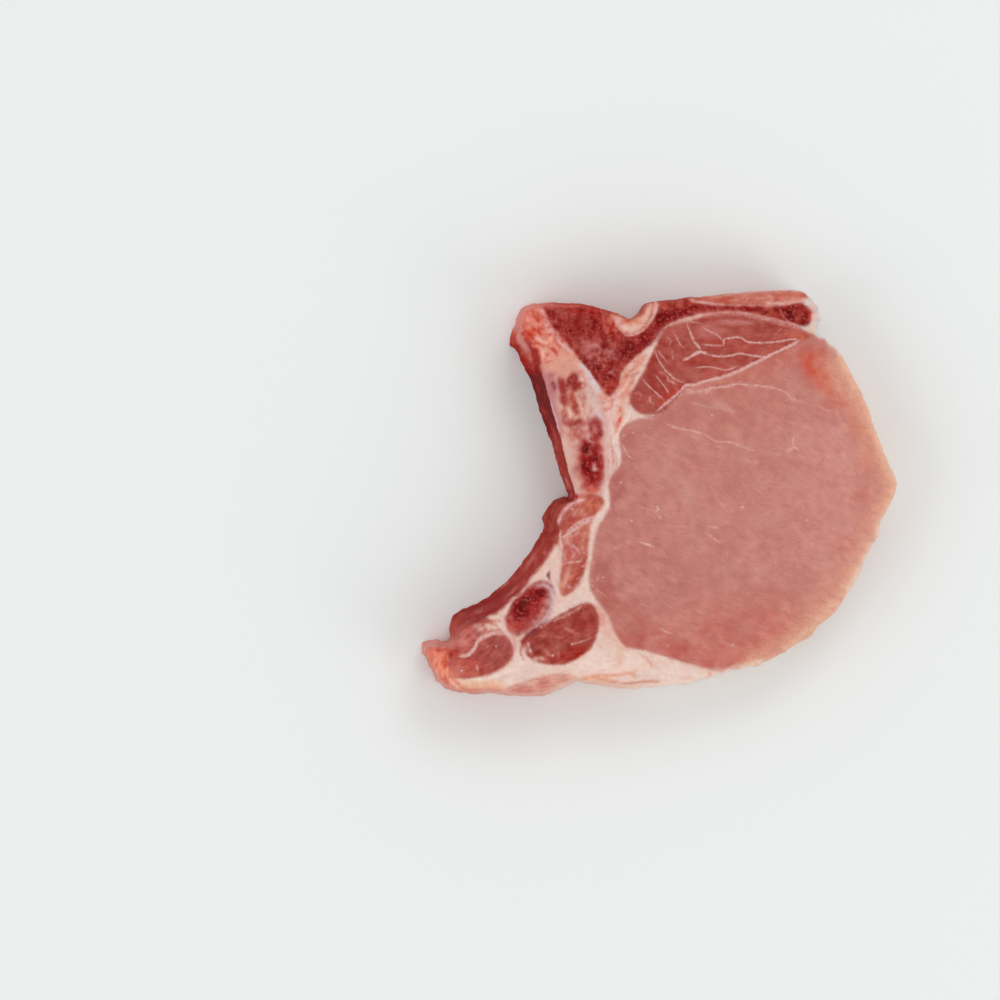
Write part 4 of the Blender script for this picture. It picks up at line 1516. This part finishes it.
def make_piece(name, shell, middle):
    """Turn a shell into a piece of the scene that stands for its solid."""
    spots = np.concatenate(shell.spots) - (*middle, 0)
    mesh = bpy.data.meshes.new(name + "_flesh")
    mesh.from_pydata((spots * MM).tolist(), [], shell.faces)
    tone = np.concatenate(shell.tone).clip(0, 255)
    paint_points(mesh, tone, np.concatenate(shell.seam), np.concatenate(shell.wall))
    make_material, *settings = MATERIALS[name]
    mesh.materials.append(make_material(name, *settings))
    mesh.shade_smooth()
    sharp = {key for i in shell.inner for key in mesh.polygons[i].edge_keys}
    for edge in mesh.edges:
        edge.use_edge_sharp = edge.key in sharp
    piece = bpy.data.objects.new(name + "_flesh", mesh)
    bpy.context.scene.collection.objects.link(piece)
    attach(piece, "root")
    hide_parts(name)


def build_chop(middle):
    """All the pieces of the chop."""
    upper, lower = Face(FINE_STEP), Face(UNDER_STEP)
    outer = set(borders(upper.triangles))
    for name in NAMES:
        make_piece(name, build(name, upper, lower, outer), middle)


# ---------------------------------------------------------------- floor, light and camera

FLOOR_WHITE = (235, 237, 236)
PICTURE_WIDTH = 290.0     # what the camera sees across at the height of the upper face
PICTURE_MIDDLE = (-46.7, -2.6)
CAMERA_HEIGHT = 1100.0    # above the upper face
SENSOR_WIDTH = 36.0


def make_floor():
    """Plain pale floor."""
    bpy.ops.mesh.primitive_plane_add(size=3.0)
    floor = bpy.context.object
    floor.name = "floor"
    nodes = Nodes("floor")
    nodes.put(Base_Color=rgba(FLOOR_WHITE), Roughness=0.8, Specular_IOR_Level=0.1)
    floor.data.materials.append(nodes.material)


def make_light(name, place, size, power):
    """A soft area light that shines at the chop."""
    data = bpy.data.lights.new(name, "AREA")
    data.shape = "DISK"
    data.size = size
    data.energy = power
    lamp = bpy.data.objects.new(name, data)
    lamp.location = place
    lamp.rotation_euler = (-Vector(place)).to_track_quat("-Z", "Y").to_euler()
    bpy.context.scene.collection.objects.link(lamp)


def make_world():
    """Soft light from all sides, and little from straight above, which would mirror as haze."""
    world = bpy.data.worlds.new("studio")
    world.use_nodes = True
    tree = world.node_tree
    where = tree.nodes.new("ShaderNodeTexCoord")
    split = tree.nodes.new("ShaderNodeSeparateXYZ")
    dim = tree.nodes.new("ShaderNodeMapRange")
    dim.interpolation_type = "SMOOTHSTEP"
    for key, value in (("From Min", 0.78), ("From Max", 0.97), ("To Min", 0.96), ("To Max", 0.145)):
        dim.inputs[key].default_value = value
    shine = tree.nodes["Background"]
    shine.inputs["Color"].default_value = (0.985, 0.997, 1.0, 1.0)
    tree.links.new(where.outputs["Generated"], split.inputs[0])
    tree.links.new(split.outputs["Z"], dim.inputs["Value"])
    tree.links.new(dim.outputs[0], shine.inputs["Strength"])
    bpy.context.scene.world = world


def make_camera(middle):
    """Camera straight above, as wide as the whole picture."""
    x, y = np.array(PICTURE_MIDDLE) - middle
    data = bpy.data.cameras.new("camera")
    data.sensor_width = SENSOR_WIDTH
    data.lens = SENSOR_WIDTH * CAMERA_HEIGHT / PICTURE_WIDTH
    camera = bpy.data.objects.new("camera", data)
    camera.location = (x * MM, y * MM, (THICKNESS + CAMERA_HEIGHT) * MM)
    bpy.context.scene.collection.objects.link(camera)
    bpy.context.scene.camera = camera
    bpy.context.scene.view_settings.view_transform = "Standard"


plan_origin = plan_middle()
make_floor()
build_chop(plan_origin)
make_world()
make_light("key", (0.35, 0.95, 1.0), 0.7, 3.0)
make_light("fill", (-0.95, -0.35, 0.8), 0.9, 2.4)
make_light("rim", (0.9, -0.6, 0.6), 0.7, 2.4)
make_camera(plan_origin)
